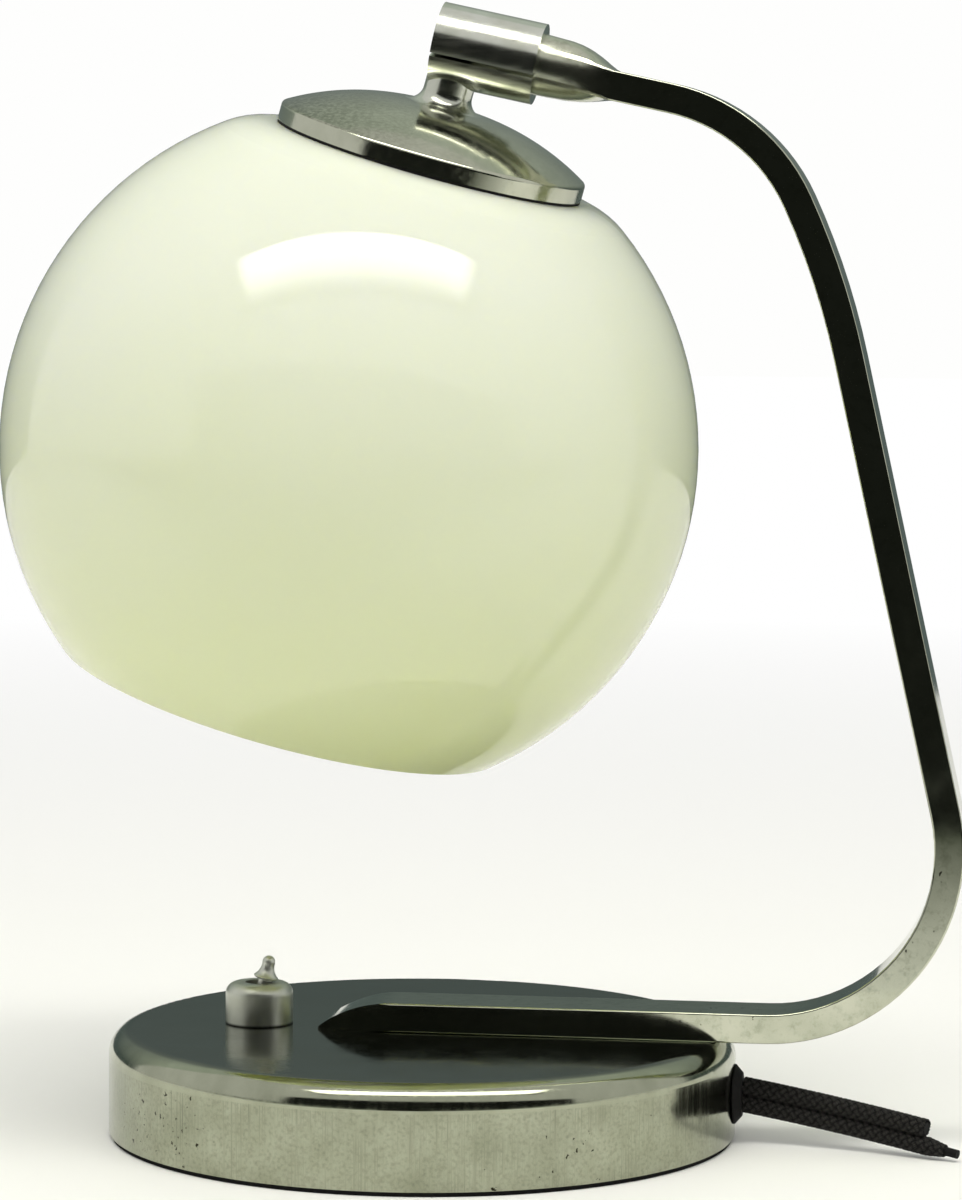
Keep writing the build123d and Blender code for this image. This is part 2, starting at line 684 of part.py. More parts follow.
def make_clip_screws():
    one = screw(CLIP_SCREW_D, CLIP_T + CLIP_SCREW_L - FIT, CLIP_SCREW_HEAD_D, CLIP_SCREW_HEAD_H)
    return Part() + [spot * Pos(0, 0, CEILING - CLIP_T) * one for spot in CLIP_SCREW_SPOTS]


def make_switch_lead():
    """Round lead from the clip to the switch, past the arm's nut."""
    start_x = CLIP_X - CLIP_W / 2
    clear = WASHER_D / 2
    points = [
        (start_x, 0, CORD_Z),
        (start_x - SWITCH_LEAD_RUN, 0, CORD_Z),
        (FIXING_X + clear, SWITCH_LEAD_Y, CORD_Z),
        (FIXING_X - clear, SWITCH_LEAD_Y, CORD_Z),
        (SWITCH_X + SWITCH_L, SWITCH_LEAD_END_Y, CORD_Z),
        (SWITCH_X + SWITCH_L / 2, SWITCH_LEAD_END_Y, CORD_Z),
    ]
    path = FilletPolyline(*points, radius=SWITCH_LEAD_D)
    start = Plane(origin=points[0], x_dir=(0, 0, 1), z_dir=(-1, 0, 0))
    return sweep(start * Circle(SWITCH_LEAD_D / 2), path=path)


def make_arm_lead():
    """From the switch up through the nipple and the whole arm to the spigot's end."""
    inner_bend = ARM_BEND_R - LEAD_OFFSET
    shift = FLAT_DROP + LEAD_OFFSET
    s_turn = degrees(acos(1 - shift / (2 * LEAD_S_BEND_R)))
    s_length = 2 * LEAD_S_BEND_R * sin(radians(s_turn))
    start_x = SWITCH_X + SWITCH_L / 2
    steps = [
        (0, FIXING_X - LEAD_BEND_R - start_x),
        (LEAD_BEND_R, -90),
        (0, LEAD_FOOT_Z - LEAD_Z - 2 * LEAD_BEND_R),
        (LEAD_BEND_R, 90),
        (0, foot_bend_end() - FIXING_X - LEAD_BEND_R),
        (inner_bend, -FOOT_TURN),
        (0, riser_length()),
        (SWEEP_R - LEAD_OFFSET, -SWEEP_TURN),
        (inner_bend, -TOP_TURN),
        (0, TOP_RUN - FLAT_START),
        (LEAD_S_BEND_R, s_turn),
        (LEAD_S_BEND_R, -s_turn),
        (0, FLAT_START - s_length - SPIGOT_END),
    ]
    return bent_bar(Circle(LEAD_D / 2), start_x, LEAD_Z, 0, steps)


def make_holder_lead():
    """From the spigot's end, on the hinge's axis, down the post to the porcelain."""
    turn = 90 - (SHADE_TILT - ARM_SLOPE)
    tangent = LEAD_BEND_R * tan(radians(turn / 2))
    start = HINGE + ALONG_ARM * SPIGOT_END
    steps = [
        (0, SPIGOT_END - tangent),
        (LEAD_BEND_R, -turn),
        (0, HANG - INSERT_TOP - tangent),
    ]
    return swing(bent_bar(Circle(LEAD_D / 2), start.X, start.Z, 180 - ARM_SLOPE, steps))


# Knuckle
def keeper_at(shape):
    """Put a shape that points outwards along Z on the back of the sleeve, with z = 0 on the axis."""
    return Pos(0, 0, KEEPER_AT) * Rot(0, 90, 0) * shape


def make_knuckle():
    post_r = POST_D / 2
    flare = post_r + POST_FLARE_R
    post = turned(
        [
            Polyline((0, SEAT_H), (flare, SEAT_H)),
            RadiusArc((flare, SEAT_H), (post_r, SEAT_H + POST_FLARE_R), POST_FLARE_R),
            Polyline((post_r, SEAT_H + POST_FLARE_R), (post_r, HANG), (0, HANG), (0, SEAT_H)),
        ]
    )
    knuckle = SLEEVE * disc(SLEEVE_D / 2, -SLEEVE_BACK, SLEEVE_FRONT) + SHADE * post
    knuckle -= SLEEVE * disc(TUBE_D / 2 + RUN, SLEEVE_WALL_END - SLEEVE_BACK, SLEEVE_FRONT)
    knuckle -= SHADE * disc(HOLDER_NIPPLE_BORE / 2, SEAT_H, HANG)
    knuckle -= SHADE * disc(HOLDER_NIPPLE_D / 2 + RUN, SEAT_H, SEAT_H + NIPPLE_GRIP)
    slit = box_between(-SLEEVE_D, 0, -SLIT_W / 2, SLIT_W / 2, -SLEEVE_BACK, SLEEVE_FRONT)
    knuckle -= SLEEVE * Rot(0, 0, SLIT_ANGLE) * slit
    knuckle -= SLEEVE * keeper_at(disc(KEEPER_D / 2 + RUN, 0, SLEEVE_D))
    return swing(knuckle)


def make_keeper():
    """Slotted grub screw whose point rides in the spigot's groove."""
    head = SLEEVE_D / 2 - HOLE
    half = KEEPER_SLOT_W / 2
    keeper = disc(KEEPER_D / 2, TUBE_D / 2 - KEEPER_TIP_L, head)
    keeper -= box_between(-half, half, -KEEPER_D, KEEPER_D, head - KEEPER_SLOT_DEPTH, head)
    return swing(SLEEVE * keeper_at(keeper))


# Cap and glass
def cap_blank(inset):
    radius = CAP_R - inset
    crease_h = RIM_H + CAP_BAND - inset
    top = SEAT_H - inset
    blank = turned(
        [
            Polyline((0, RIM_H), (radius, RIM_H), (radius, crease_h)),
            SagittaArc((radius, crease_h), (CAP_SEAT_R, top), -CAP_BULGE),
            Polyline((CAP_SEAT_R, top), (0, top), (0, RIM_H)),
        ]
    )
    crease = blank.edges().filter_by_position(Axis.Z, crease_h - FIT, crease_h + FIT)
    return fillet(crease, CAP_CREASE_R)


def make_cap():
    cap = cap_blank(0) - cap_blank(CAP_WALL)
    return in_shade(cap - disc(HOLDER_NIPPLE_D / 2 + HOLE, RIM_H, SEAT_H))


def make_upper_gasket():
    return in_shade(ring(CAP_R - FIT, CAP_R - CAP_WALL - FIT, GLASS_TOP, RIM_H))


def make_glass():
    """Ball with a ground mouth, drawn in softly to a flat top round the holder's hole."""
    start = 90 - SHOULDER_ANGLE
    centre_r = (GLASS_R - SHOULDER_R) * sin(radians(SHOULDER_ANGLE))
    centre = (centre_r, GLASS_TOP - SHOULDER_R)
    inner_r = GLASS_R - GLASS_WALL
    low = -degrees(asin(MOUTH_DROP / GLASS_R))
    inner_low = -degrees(asin(MOUTH_DROP / inner_r))
    under = GLASS_TOP - GLASS_WALL
    mouth_out = (GLASS_R * cos(radians(low)), -MOUTH_DROP)
    mouth_in = (inner_r * cos(radians(inner_low)), -MOUTH_DROP)
    outline = [
        CenterArc((0, 0), GLASS_R, low, start - low),
        CenterArc(centre, SHOULDER_R, start, SHOULDER_ANGLE),
        Polyline(
            (centre_r, GLASS_TOP), (GLASS_HOLE_R, GLASS_TOP), (GLASS_HOLE_R, under), (centre_r, under)
        ),
        CenterArc(centre, SHOULDER_R - GLASS_WALL, start, SHOULDER_ANGLE),
        CenterArc((0, 0), inner_r, inner_low, start - inner_low),
        Line(mouth_in, mouth_out),
    ]
    return in_shade(turned(outline))


def make_lower_gasket():
    return in_shade(ring(LOWER_GASKET_R, HOLDER_R + HOLE, DISC_TOP, DISC_TOP + LOWER_GASKET_T))


def make_clamp_disc():
    return in_shade(ring(DISC_R, HOLDER_R + HOLE, DISC_TOP - DISC_T, DISC_TOP))


def make_shade_ring():
    top = DISC_TOP - DISC_T
    return in_shade(ring(RING_R, HOLDER_R + RUN, top - RING_H, top))


# Lampholder
def make_holder_nipple():
    bottom = HOLDER_TOP - HOLDER_COLLAR_H
    return in_shade(ring(HOLDER_NIPPLE_D / 2, HOLDER_NIPPLE_BORE / 2, bottom, SEAT_H + NIPPLE_GRIP))


def make_cap_nut():
    return in_shade(hex_nut(CAP_NUT_AF, HOLDER_NIPPLE_D + 2 * RUN, HOLDER_TOP, HOLDER_TOP + CAP_NUT_H))


def make_holder_shell():
    collar_low = HOLDER_TOP - HOLDER_COLLAR_H
    dome_low = collar_low - HOLDER_DOME_H
    bottom = HOLDER_TOP - HOLDER_L
    collar_r = HOLDER_COLLAR_D / 2
    bore_r = HOLDER_NIPPLE_D / 2 + RUN
    inner_r = HOLDER_R - HOLDER_WALL
    outline = Polyline(
        (bore_r, HOLDER_TOP),
        (collar_r, HOLDER_TOP),
        (collar_r, collar_low + HOLDER_WALL),
        (HOLDER_R, dome_low),
        (HOLDER_R, bottom),
        (inner_r, bottom),
        (inner_r, dome_low - HOLDER_WALL / 2),
        (collar_r, collar_low),
        (bore_r, collar_low),
        (bore_r, HOLDER_TOP),
    )
    return in_shade(turned([outline]))


def make_insert():
    insert = disc(HOLDER_R - HOLDER_WALL - FIT, INSERT_TOP - INSERT_H, INSERT_TOP)
    return in_shade(insert - disc(SCREW_SHELL_R + FIT, INSERT_TOP - INSERT_H, RECESS_H))


def make_screw_shell():
    inner = SCREW_SHELL_R - SCREW_SHELL_WALL
    return in_shade(ring(SCREW_SHELL_R, inner, RECESS_H - SCREW_SHELL_L, RECESS_H))


def make_contact():
    return in_shade(disc(CONTACT_D / 2, RECESS_H - CONTACT_T, RECESS_H))


def make_holder_terminals():
    one = disc(TERMINAL_SCREW_D / 2, INSERT_TOP, INSERT_TOP + TERMINAL_SCREW_H)
    spots = [Pos(side * TERMINAL_SCREW_R, 0, 0) for side in (-1, 1)]
    return in_shade(Part() + [spot * one for spot in spots])


# Bulb
def make_bulb_tip():
    return in_shade(disc(BULB_TIP_D / 2, BULB_CAP_TOP, BULB_TIP_H))


def make_bulb_cap():
    radius = BULB_CAP_D / 2
    cap = disc(radius, BULB_NECK_H, BULB_CAP_TOP)
    cap = chamfer(cap.edges().sort_by(Axis.Z)[-1], BULB_CAP_CHAMFER)
    return in_shade(cap - disc(radius - BULB_CAP_WALL, BULB_NECK_H, BULB_CAP_TOP - BULB_CAP_END))


def bulb_outline(inset):
    """Pear shape: a straight neck, a tangent arc out of it and the round end."""
    neck_r = BULB_CAP_D / 2 - BULB_CAP_WALL - FIT - inset
    radius = BULB_R - inset
    centre_h = BULB_NECK_H - BULB_L + BULB_R
    top = BULB_NECK_H + BULB_NECK_IN
    out = cos(radians(BULB_JOIN))
    up = sin(radians(BULB_JOIN))
    join_point = (radius * out, centre_h + radius * up)
    side = Spline((neck_r, BULB_NECK_H), join_point, tangents=((0, -1), (up, -out)))
    end = CenterArc((0, centre_h), radius, -90, 90 + BULB_JOIN)
    close = Polyline((0, centre_h - radius), (0, top), (neck_r, top), (neck_r, BULB_NECK_H))
    return turned([side, end, close])


def make_bulb_glass():
    return in_shade(bulb_outline(0) - bulb_outline(BULB_WALL))


NODES = {
    "felt_pad": lambda: disc(BASE_R - FELT_INSET, 0, FELT_T),
    "base_plate": make_plate,
    "base_plate_screws": make_plate_screws,
    "base_shell": make_shell,
    "base_weight": make_weight,
    "arm": make_arm,
    "arm_foot_block": make_block,
    "arm_nipple": make_nipple,
    "arm_washer": make_washer,
    "arm_nut": make_nut,
    "arm_locating_screw": make_locator,
    "arm_lead": make_arm_lead,
    "switch_collar": make_collar,
    "switch_bush": make_bush,
    "switch_pin": make_pin,
    "switch_panel_nut": make_panel_nut,
    "switch_body": make_switch_body,
    "switch_terminals": make_terminals,
    "switch_lever": make_lever,
    "mains_cord": make_cord,
    "cord_inner_core": make_inner_core,
    "cord_grommet": make_grommet,
    "cord_clip": make_clip,
    "cord_clip_screws": make_clip_screws,
    "base_lead": make_base_lead,
    "switch_lead": make_switch_lead,
    "knuckle": make_knuckle,
    "knuckle_screw": make_keeper,
    "cap": make_cap,
    "upper_gasket": make_upper_gasket,
    "glass_shade": make_glass,
    "lower_gasket": make_lower_gasket,
    "clamp_disc": make_clamp_disc,
    "shade_ring": make_shade_ring,
    "holder_nipple": make_holder_nipple,
    "cap_nut": make_cap_nut,
    "holder_shell": make_holder_shell,
    "holder_insert": make_insert,
    "holder_screw_shell": make_screw_shell,
    "holder_contact": make_contact,
    "holder_terminals": make_holder_terminals,
    "holder_lead": make_holder_lead,
    "bulb_tip": make_bulb_tip,
    "bulb_cap": make_bulb_cap,
    "bulb_glass": make_bulb_glass,
}

os.makedirs("parts", exist_ok=True)
for node, make in NODES.items():
    save(node, make())
print("hinge point", HINGE, "axis", ALONG_ARM)
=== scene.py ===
# %% [markdown]
# # A nickel bedside lamp with an opal ball
# A bent arm of flattened tube stands on a low round drum and carries a glass ball on a small knuckle.
# The metal is old polished nickel plate, so most of what the eye sees on it is the room. The lesson
# starts from the finished solids, gives every piece its own finish, replaces the plain flex by a
# braided one, and then sets up the room whose reflections make the metal look like metal.

# %% Load the solids
import bpy
import json
from math import cos, pi, radians, sin
from mathutils import Matrix, Vector


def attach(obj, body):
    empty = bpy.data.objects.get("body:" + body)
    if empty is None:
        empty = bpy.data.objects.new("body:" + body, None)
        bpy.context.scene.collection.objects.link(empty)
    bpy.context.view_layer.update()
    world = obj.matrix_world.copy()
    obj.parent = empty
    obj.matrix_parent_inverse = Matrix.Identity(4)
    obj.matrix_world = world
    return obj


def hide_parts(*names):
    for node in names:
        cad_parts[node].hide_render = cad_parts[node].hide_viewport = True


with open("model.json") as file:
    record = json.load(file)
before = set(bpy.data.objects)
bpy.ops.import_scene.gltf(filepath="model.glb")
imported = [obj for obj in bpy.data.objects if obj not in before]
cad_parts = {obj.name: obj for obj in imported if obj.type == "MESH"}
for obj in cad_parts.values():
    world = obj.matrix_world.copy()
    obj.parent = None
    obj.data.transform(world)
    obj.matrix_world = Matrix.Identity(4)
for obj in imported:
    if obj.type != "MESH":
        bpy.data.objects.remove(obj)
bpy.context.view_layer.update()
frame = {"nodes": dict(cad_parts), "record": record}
MM = 0.001

# %% [markdown]
# ## The camera
# The picture was taken from about a metre away with a long lens, a little above the ball's middle and
# eight degrees to the right of the front. A camera in Blender looks along its own -Z, so its matrix is
# made from three directions: right, up and backwards. The focal length is known in pixels of the
# photograph, and the sensor's height turns it into millimetres.

# %% Camera
PHOTO_HEIGHT_PX = 1200
FOCAL_PX = 4747.5
SENSOR_MM = 36.0
CAMERA_AT = Vector((146.3, -1001.7, 205.0)) * MM
CAMERA_YAW = radians(-7.635)
CAMERA_PITCH = radians(-5.061)
CAMERA_ROLL = radians(0.413)


def camera_matrix():
    ahead = cos(CAMERA_PITCH)
    forward = Vector((sin(CAMERA_YAW) * ahead, cos(CAMERA_YAW) * ahead, sin(CAMERA_PITCH)))
    level = Vector((cos(CAMERA_YAW), -sin(CAMERA_YAW), 0))
    upright = level.cross(forward)
    right = level * cos(CAMERA_ROLL) + upright * sin(CAMERA_ROLL)
    up = upright * cos(CAMERA_ROLL) - level * sin(CAMERA_ROLL)
    turn = Matrix((right, up, -forward)).transposed().to_4x4()
    return Matrix.Translation(CAMERA_AT) @ turn


lens = bpy.data.cameras.new("photo_camera")
lens.sensor_fit = "VERTICAL"
lens.sensor_height = SENSOR_MM
lens.lens = FOCAL_PX / PHOTO_HEIGHT_PX * SENSOR_MM
camera = bpy.data.objects.new("photo_camera", lens)
camera.matrix_world = camera_matrix()
bpy.context.scene.collection.objects.link(camera)
bpy.context.scene.camera = camera
print("lens", round(lens.lens, 1), "mm")

# %% [markdown]
# ## Helpers for node trees
# Every material and every Geometry Nodes tree below is built node by node. One small function adds a
# node, sets its properties and fills its inputs, by a link where the value is a socket and by a plain
# value otherwise. Colours are written as sRGB hex values, as a paint chart gives them, and Blender
# wants them linear.

# %% Helpers
def add(tree, kind, inputs=None, **settings):
    """Add a node, with its settings, and its inputs given by name or number."""
    node = tree.nodes.new(kind)
    for name, value in settings.items():
        setattr(node, name, value)
    for name, value in (inputs or {}).items():
        if isinstance(value, bpy.types.NodeSocket):
            tree.links.new(value, node.inputs[name])
        else:
            node.inputs[name].default_value = value
    return node


def linear(hex_colour):
    channels = [int(hex_colour[i:i + 2], 16) / 255 for i in (1, 3, 5)]
    return tuple(c / 12.92 if c <= 0.04045 else ((c + 0.055) / 1.055) ** 2.4 for c in channels) + (1.0,)


def per_mm(size):
    """A texture's scale, in waves or cells a metre, for a pattern of that size in millimetres."""
    return 1 / (size * MM)


def new_material(name, **sockets):
    """A material whose Principled shader has the given constant values."""
    material = bpy.data.materials.new(name)
    material.use_nodes = True
    shader = material.node_tree.nodes["Principled BSDF"]
    for socket, value in sockets.items():
        shader.inputs[socket.replace("_", " ")].default_value = value
    return material, material.node_tree, shader


def opened(material):
    """A finish's tree and shader, the colour that goes into it, and the place on the piece."""
    tree = material.node_tree
    shader = tree.nodes["Principled BSDF"]
    colour = shader.inputs["Base Color"].links[0].from_socket
    return tree, shader, colour, add(tree, "ShaderNodeTexCoord").outputs["Object"]


print("white is", linear("#FFFFFF"))

# %% [markdown]
# ## Worn nickel plate
# Nickel plate is a warm white mirror when new. Decades of polish and damp leave a thin greenish haze
# that comes and goes, fine scratches, and small dark pits where the plate has gone. The mirror stays
# sharp, so roughness is low, except on the knuckle, which years of fingers have rubbed to a satin, and
# on the switch, which they have left matt. A slow noise makes the haze and a stretched noise the
# polished lines, which run along different directions on the drum, the arm and the cap, so the finish
# is a function with the three wave lengths of its lines, in millimetres. The real lines are too fine
# to show in a render of the whole lamp, so they are drawn coarser.

# %% Nickel
NICKEL_BRIGHT = "#D4D5C4"
NICKEL_HAZE = "#A6AA95"
NICKEL_RUBBED = "#EBECE6"
NICKEL_DULL = "#B9BCA8"
NICKEL_STAINED = "#868A74"
HAZE_MM = 9.0
WEAR_SPAN = (0.15, 0.4)
LINE_RELIEF_MM = 0.02
LINE_STRENGTH = 0.05


def nickel(name, bright, haze_colour, line_mm, smooth, rough):
    """Worn nickel, with the size of its lines along X, Y and Z and its least and most roughness."""
    material, tree, shader = new_material(name, Metallic=1.0)
    place = add(tree, "ShaderNodeTexCoord").outputs["Object"]
    haze = add(tree, "ShaderNodeTexNoise", {"Vector": place, "Scale": per_mm(HAZE_MM), "Detail": 7.0})
    stretch = add(
        tree, "ShaderNodeMapping", {"Vector": place, "Scale": [per_mm(size) for size in line_mm]}
    )
    lines = add(tree, "ShaderNodeTexNoise", {"Vector": stretch.outputs[0], "Scale": 1.0, "Detail": 3.0})
    plate = add(
        tree, "ShaderNodeMix",
        {"Factor": haze.outputs["Fac"], "A": linear(bright), "B": linear(haze_colour)},
        data_type="RGBA",
    )
    worn = add(
        tree, "ShaderNodeMath", {0: haze.outputs["Fac"], 1: lines.outputs["Fac"]}, operation="MULTIPLY"
    )
    roughness = add(
        tree, "ShaderNodeMapRange",
        {
            "Value": worn.outputs[0], "From Min": WEAR_SPAN[0], "From Max": WEAR_SPAN[1],
            "To Min": smooth, "To Max": rough,
        },
    )
    bump = add(
        tree, "ShaderNodeBump",
        {"Height": lines.outputs["Fac"], "Strength": LINE_STRENGTH, "Distance": LINE_RELIEF_MM * MM},
    )
    tree.links.new(plate.outputs["Result"], shader.inputs["Base Color"])
    tree.links.new(roughness.outputs[0], shader.inputs["Roughness"])
    tree.links.new(bump.outputs[0], shader.inputs["Normal"])
    print(name, "lines of", line_mm, "mm")
    return material


NICKEL_ARM = nickel("nickel_polished_arm", NICKEL_BRIGHT, NICKEL_HAZE, (12.0, 0.6, 12.0), 0.04, 0.12)
NICKEL_CAP = nickel("nickel_spun_cap", NICKEL_BRIGHT, NICKEL_HAZE, (1.2, 1.2, 1.2), 0.08, 0.22)
NICKEL_SMALL = nickel("nickel_polished_small", NICKEL_BRIGHT, NICKEL_HAZE, (2.0, 2.0, 2.0), 0.06, 0.16)
NICKEL_SATIN = nickel("nickel_satin_handled", NICKEL_RUBBED, NICKEL_HAZE, (6.0, 0.8, 0.8), 0.15, 0.27)
NICKEL_MATT = nickel("nickel_matt_switch", NICKEL_RUBBED, NICKEL_HAZE, (0.8, 0.8, 6.0), 0.34, 0.44)
NICKEL_DRUM = nickel("nickel_worn_drum", NICKEL_DULL, NICKEL_STAINED, (0.9, 0.9, 30.0), 0.08, 0.2)

# %% [markdown]
# ## A dark line at the collar's foot
# A thin dark line is drawn in the corner where the switch's collar stands on the drum. The lever
# shares the collar's matt nickel but stands higher, so the line can go into that finish by height
# alone.

# %% Dark line at the collar's foot
COLLAR_FOOT_MM = 22.7
FOOT_LINE_H_MM = 0.7
FOOT_LINE_DARK = "#1C1B15"


def darken_collar_foot(material):
    tree, shader, plate, place = opened(material)
    height = add(tree, "ShaderNodeSeparateXYZ", {0: place}).outputs["Z"]
    foot_line = add(
        tree, "ShaderNodeMapRange",
        {
            "Value": height, "From Min": COLLAR_FOOT_MM * MM,
            "From Max": (COLLAR_FOOT_MM + FOOT_LINE_H_MM) * MM, "To Min": 1.0, "To Max": 0.0,
        },
        interpolation_type="SMOOTHSTEP",
    )
    colour = add(
        tree, "ShaderNodeMix", {"Factor": foot_line.outputs[0], "A": plate, "B": linear(FOOT_LINE_DARK)},
        data_type="RGBA",
    )
    tree.links.new(colour.outputs["Result"], shader.inputs["Base Color"])
    print("dark foot line", FOOT_LINE_H_MM, "mm high")


darken_collar_foot(NICKEL_MATT)

# %% [markdown]
# ## Pits in the plate
# Damp has eaten through the nickel in a few places and left small ragged dark pits, crowded in the
# middle of a patch and rare at its edge. Each cell of a Voronoi pattern may hold one: the cell's random
# colour decides whether it does and how large it is, and the distance from the patch's middle thins
# them out. A fine noise shifts the cells' edges, so no pit is a neat disc.

# %% Pits
PIT_CELL_MM = 1.4
PIT_RAGGED_MM = 0.9
PIT_SHIFT_MM = 2.2
PIT_SIZE = (0.06, 0.34)  # radius, as a share of the cell
NICKEL_WORN = "#2E2C22"


def pitting(tree, place, patches_mm):
    """A mask of pits; each patch has a middle, a reach and the share of cells pitted at its middle."""
    wobble = add(
        tree, "ShaderNodeTexNoise", {"Vector": place, "Scale": per_mm(PIT_RAGGED_MM), "Detail": 2.0}
    )
    shift = add(
        tree, "ShaderNodeVectorMath",
        {0: wobble.outputs["Color"], 1: (PIT_SHIFT_MM * MM,) * 3, 2: place}, operation="MULTIPLY_ADD",
    )
    cells = add(
        tree, "ShaderNodeTexVoronoi", {"Vector": shift.outputs[0], "Scale": per_mm(PIT_CELL_MM)}
    )
    chance = add(tree, "ShaderNodeSeparateColor", {0: cells.outputs["Color"]})
    size = add(
        tree, "ShaderNodeMapRange",
        {"Value": chance.outputs["Green"], "To Min": PIT_SIZE[0], "To Max": PIT_SIZE[1]},
    )
    inside = add(
        tree, "ShaderNodeMath", {0: cells.outputs["Distance"], 1: size.outputs[0]},
        operation="LESS_THAN",
    )
    crowded = None
    for middle, reach, share in patches_mm:
        away = add(
            tree, "ShaderNodeVectorMath", {0: place, 1: Vector(middle) * MM}, operation="DISTANCE"
        )
        dense = add(
            tree, "ShaderNodeMapRange",
            {
                "Value": away.outputs["Value"], "From Min": 0.0, "From Max": reach * MM,
                "To Min": share, "To Max": 0.0,
            },
        ).outputs[0]
        if crowded:
            dense = add(tree, "ShaderNodeMath", {0: crowded, 1: dense}, operation="MAXIMUM").outputs[0]
        crowded = dense
    pitted = add(tree, "ShaderNodeMath", {0: chance.outputs["Red"], 1: crowded}, operation="LESS_THAN")
    return add(
        tree, "ShaderNodeMath", {0: pitted.outputs[0], 1: inside.outputs[0]}, operation="MULTIPLY"
    ).outputs[0]


print("pits in cells of", PIT_CELL_MM, "mm")

# %% [markdown]
# ## The worn arm
# Where the arm goes into the knuckle it has been gripped and turned for years, and its mirror is dulled
# there. The roughness grows towards the hinge's middle and fades out along the taper. Small stains lie
# all along it, and the low bend and the foot, near the damp of the table, have a few pits.

# %% Worn arm
HINGE_MM = (6.8, 0.0, 232.9)
RUBBED_MM = (24.0, 42.0)
RUBBED_ROUGHNESS = 0.24
STAIN_MM = 2.4
STAIN_SPAN = (0.5, 0.72)
STAIN_DEPTH = 0.55
STAIN_ROUGHNESS = 0.72
ARM_PITS_MM = (((105.0, -7.6, 52.0), 16.0, 0.22), ((66.0, -7.6, 26.0), 14.0, 0.26))


def wear_arm(material):
    tree, shader, plate, place = opened(material)
    polish = shader.inputs["Roughness"].links[0].from_socket
    away = add(
        tree, "ShaderNodeVectorMath", {0: place, 1: Vector(HINGE_MM) * MM}, operation="DISTANCE"
    )
    dulled = add(
        tree, "ShaderNodeMapRange",
        {
            "Value": away.outputs["Value"], "From Min": RUBBED_MM[0] * MM,
            "From Max": RUBBED_MM[1] * MM, "To Min": RUBBED_ROUGHNESS, "To Max": 0.0,
        },
        interpolation_type="SMOOTHSTEP",
    )
    roughness = add(tree, "ShaderNodeMath", {0: polish, 1: dulled.outputs[0]}, operation="MAXIMUM")
    tree.links.new(roughness.outputs[0], shader.inputs["Roughness"])
    blotches = add(
        tree, "ShaderNodeTexNoise",
        {"Vector": place, "Scale": per_mm(STAIN_MM), "Detail": 6.0, "Roughness": STAIN_ROUGHNESS},
    )
    stain = add(
        tree, "ShaderNodeMapRange",
        {
            "Value": blotches.outputs["Fac"], "From Min": STAIN_SPAN[0], "From Max": STAIN_SPAN[1],
            "To Min": 0.0, "To Max": STAIN_DEPTH,
        },
    )
    stained = add(
        tree, "ShaderNodeMix", {"Factor": stain.outputs[0], "A": plate, "B": linear(NICKEL_STAINED)},
        data_type="RGBA",
    )
    pits = pitting(tree, place, ARM_PITS_MM)
    colour = add(
        tree, "ShaderNodeMix",
        {"Factor": pits, "A": stained.outputs["Result"], "B": linear(NICKEL_WORN)}, data_type="RGBA",
    )
    tree.links.new(colour.outputs["Result"], shader.inputs["Base Color"])
    print("arm rubbed within", RUBBED_MM[1], "mm of the hinge")


wear_arm(NICKEL_ARM)

# %% [markdown]
# ## Tarnish and painted shade on the cap
# The polishing cloth reaches the cap's rim band but seldom its dome, so a grainy tarnish has stayed on
# the dome. The dome is also painted darker towards the side away from the arm, a painted dark
# reflection. The direction that a face looks in, taken in the cap's own frame, tells the dome from the
# band.

# %% Tarnish and shade of the cap
NICKEL_TARNISH_AND_SHADE = "#6A6E5C"
DARK_SIDE_X_MM = (-36.0, 4.0)
DARK_SIDE_SPAN = (1.0, 0.12)
DOME_UP = (0.45, 0.65)
GRAIN_MM = 0.9
GRAIN_NOISE = (0.35, 0.65)
GRAIN_SPAN = (0.5, 1.3)


def tarnish_and_shade_cap(material):
    tree, shader, plate, place = opened(material)
    across = add(tree, "ShaderNodeSeparateXYZ", {0: place}).outputs["X"]
    facing = add(tree, "ShaderNodeSeparateXYZ", {0: place.node.outputs["Normal"]}).outputs["Z"]
    # Painted reflection: the dome is darker towards the left, away from the arm.
    gradient_share = add(
        tree, "ShaderNodeMapRange",
        {
            "Value": across, "From Min": DARK_SIDE_X_MM[0] * MM, "From Max": DARK_SIDE_X_MM[1] * MM,
            "To Min": DARK_SIDE_SPAN[0], "To Max": DARK_SIDE_SPAN[1],
        },
    )
    dome = add(
        tree, "ShaderNodeMapRange", {"Value": facing, "From Min": DOME_UP[0], "From Max": DOME_UP[1]}
    )
    grains = add(
        tree, "ShaderNodeTexNoise", {"Vector": place, "Scale": per_mm(GRAIN_MM), "Detail": 4.0}
    )
    grainy = add(
        tree, "ShaderNodeMapRange",
        {
            "Value": grains.outputs["Fac"], "From Min": GRAIN_NOISE[0], "From Max": GRAIN_NOISE[1],
            "To Min": GRAIN_SPAN[0], "To Max": GRAIN_SPAN[1],
        },
    )
    laid = add(
        tree, "ShaderNodeMath", {0: gradient_share.outputs[0], 1: dome.outputs[0]}, operation="MULTIPLY"
    )
    tarnish_and_shade = add(
        tree, "ShaderNodeMath", {0: laid.outputs[0], 1: grainy.outputs[0]}, operation="MULTIPLY"
    )
    colour = add(
        tree, "ShaderNodeMix",
        {"Factor": tarnish_and_shade.outputs[0], "A": plate, "B": linear(NICKEL_TARNISH_AND_SHADE)}, data_type="RGBA",
    )
    tree.links.new(colour.outputs["Result"], shader.inputs["Base Color"])
    print("cap darkened from", DARK_SIDE_X_MM[0], "to", DARK_SIDE_X_MM[1], "mm")


tarnish_and_shade_cap(NICKEL_CAP)

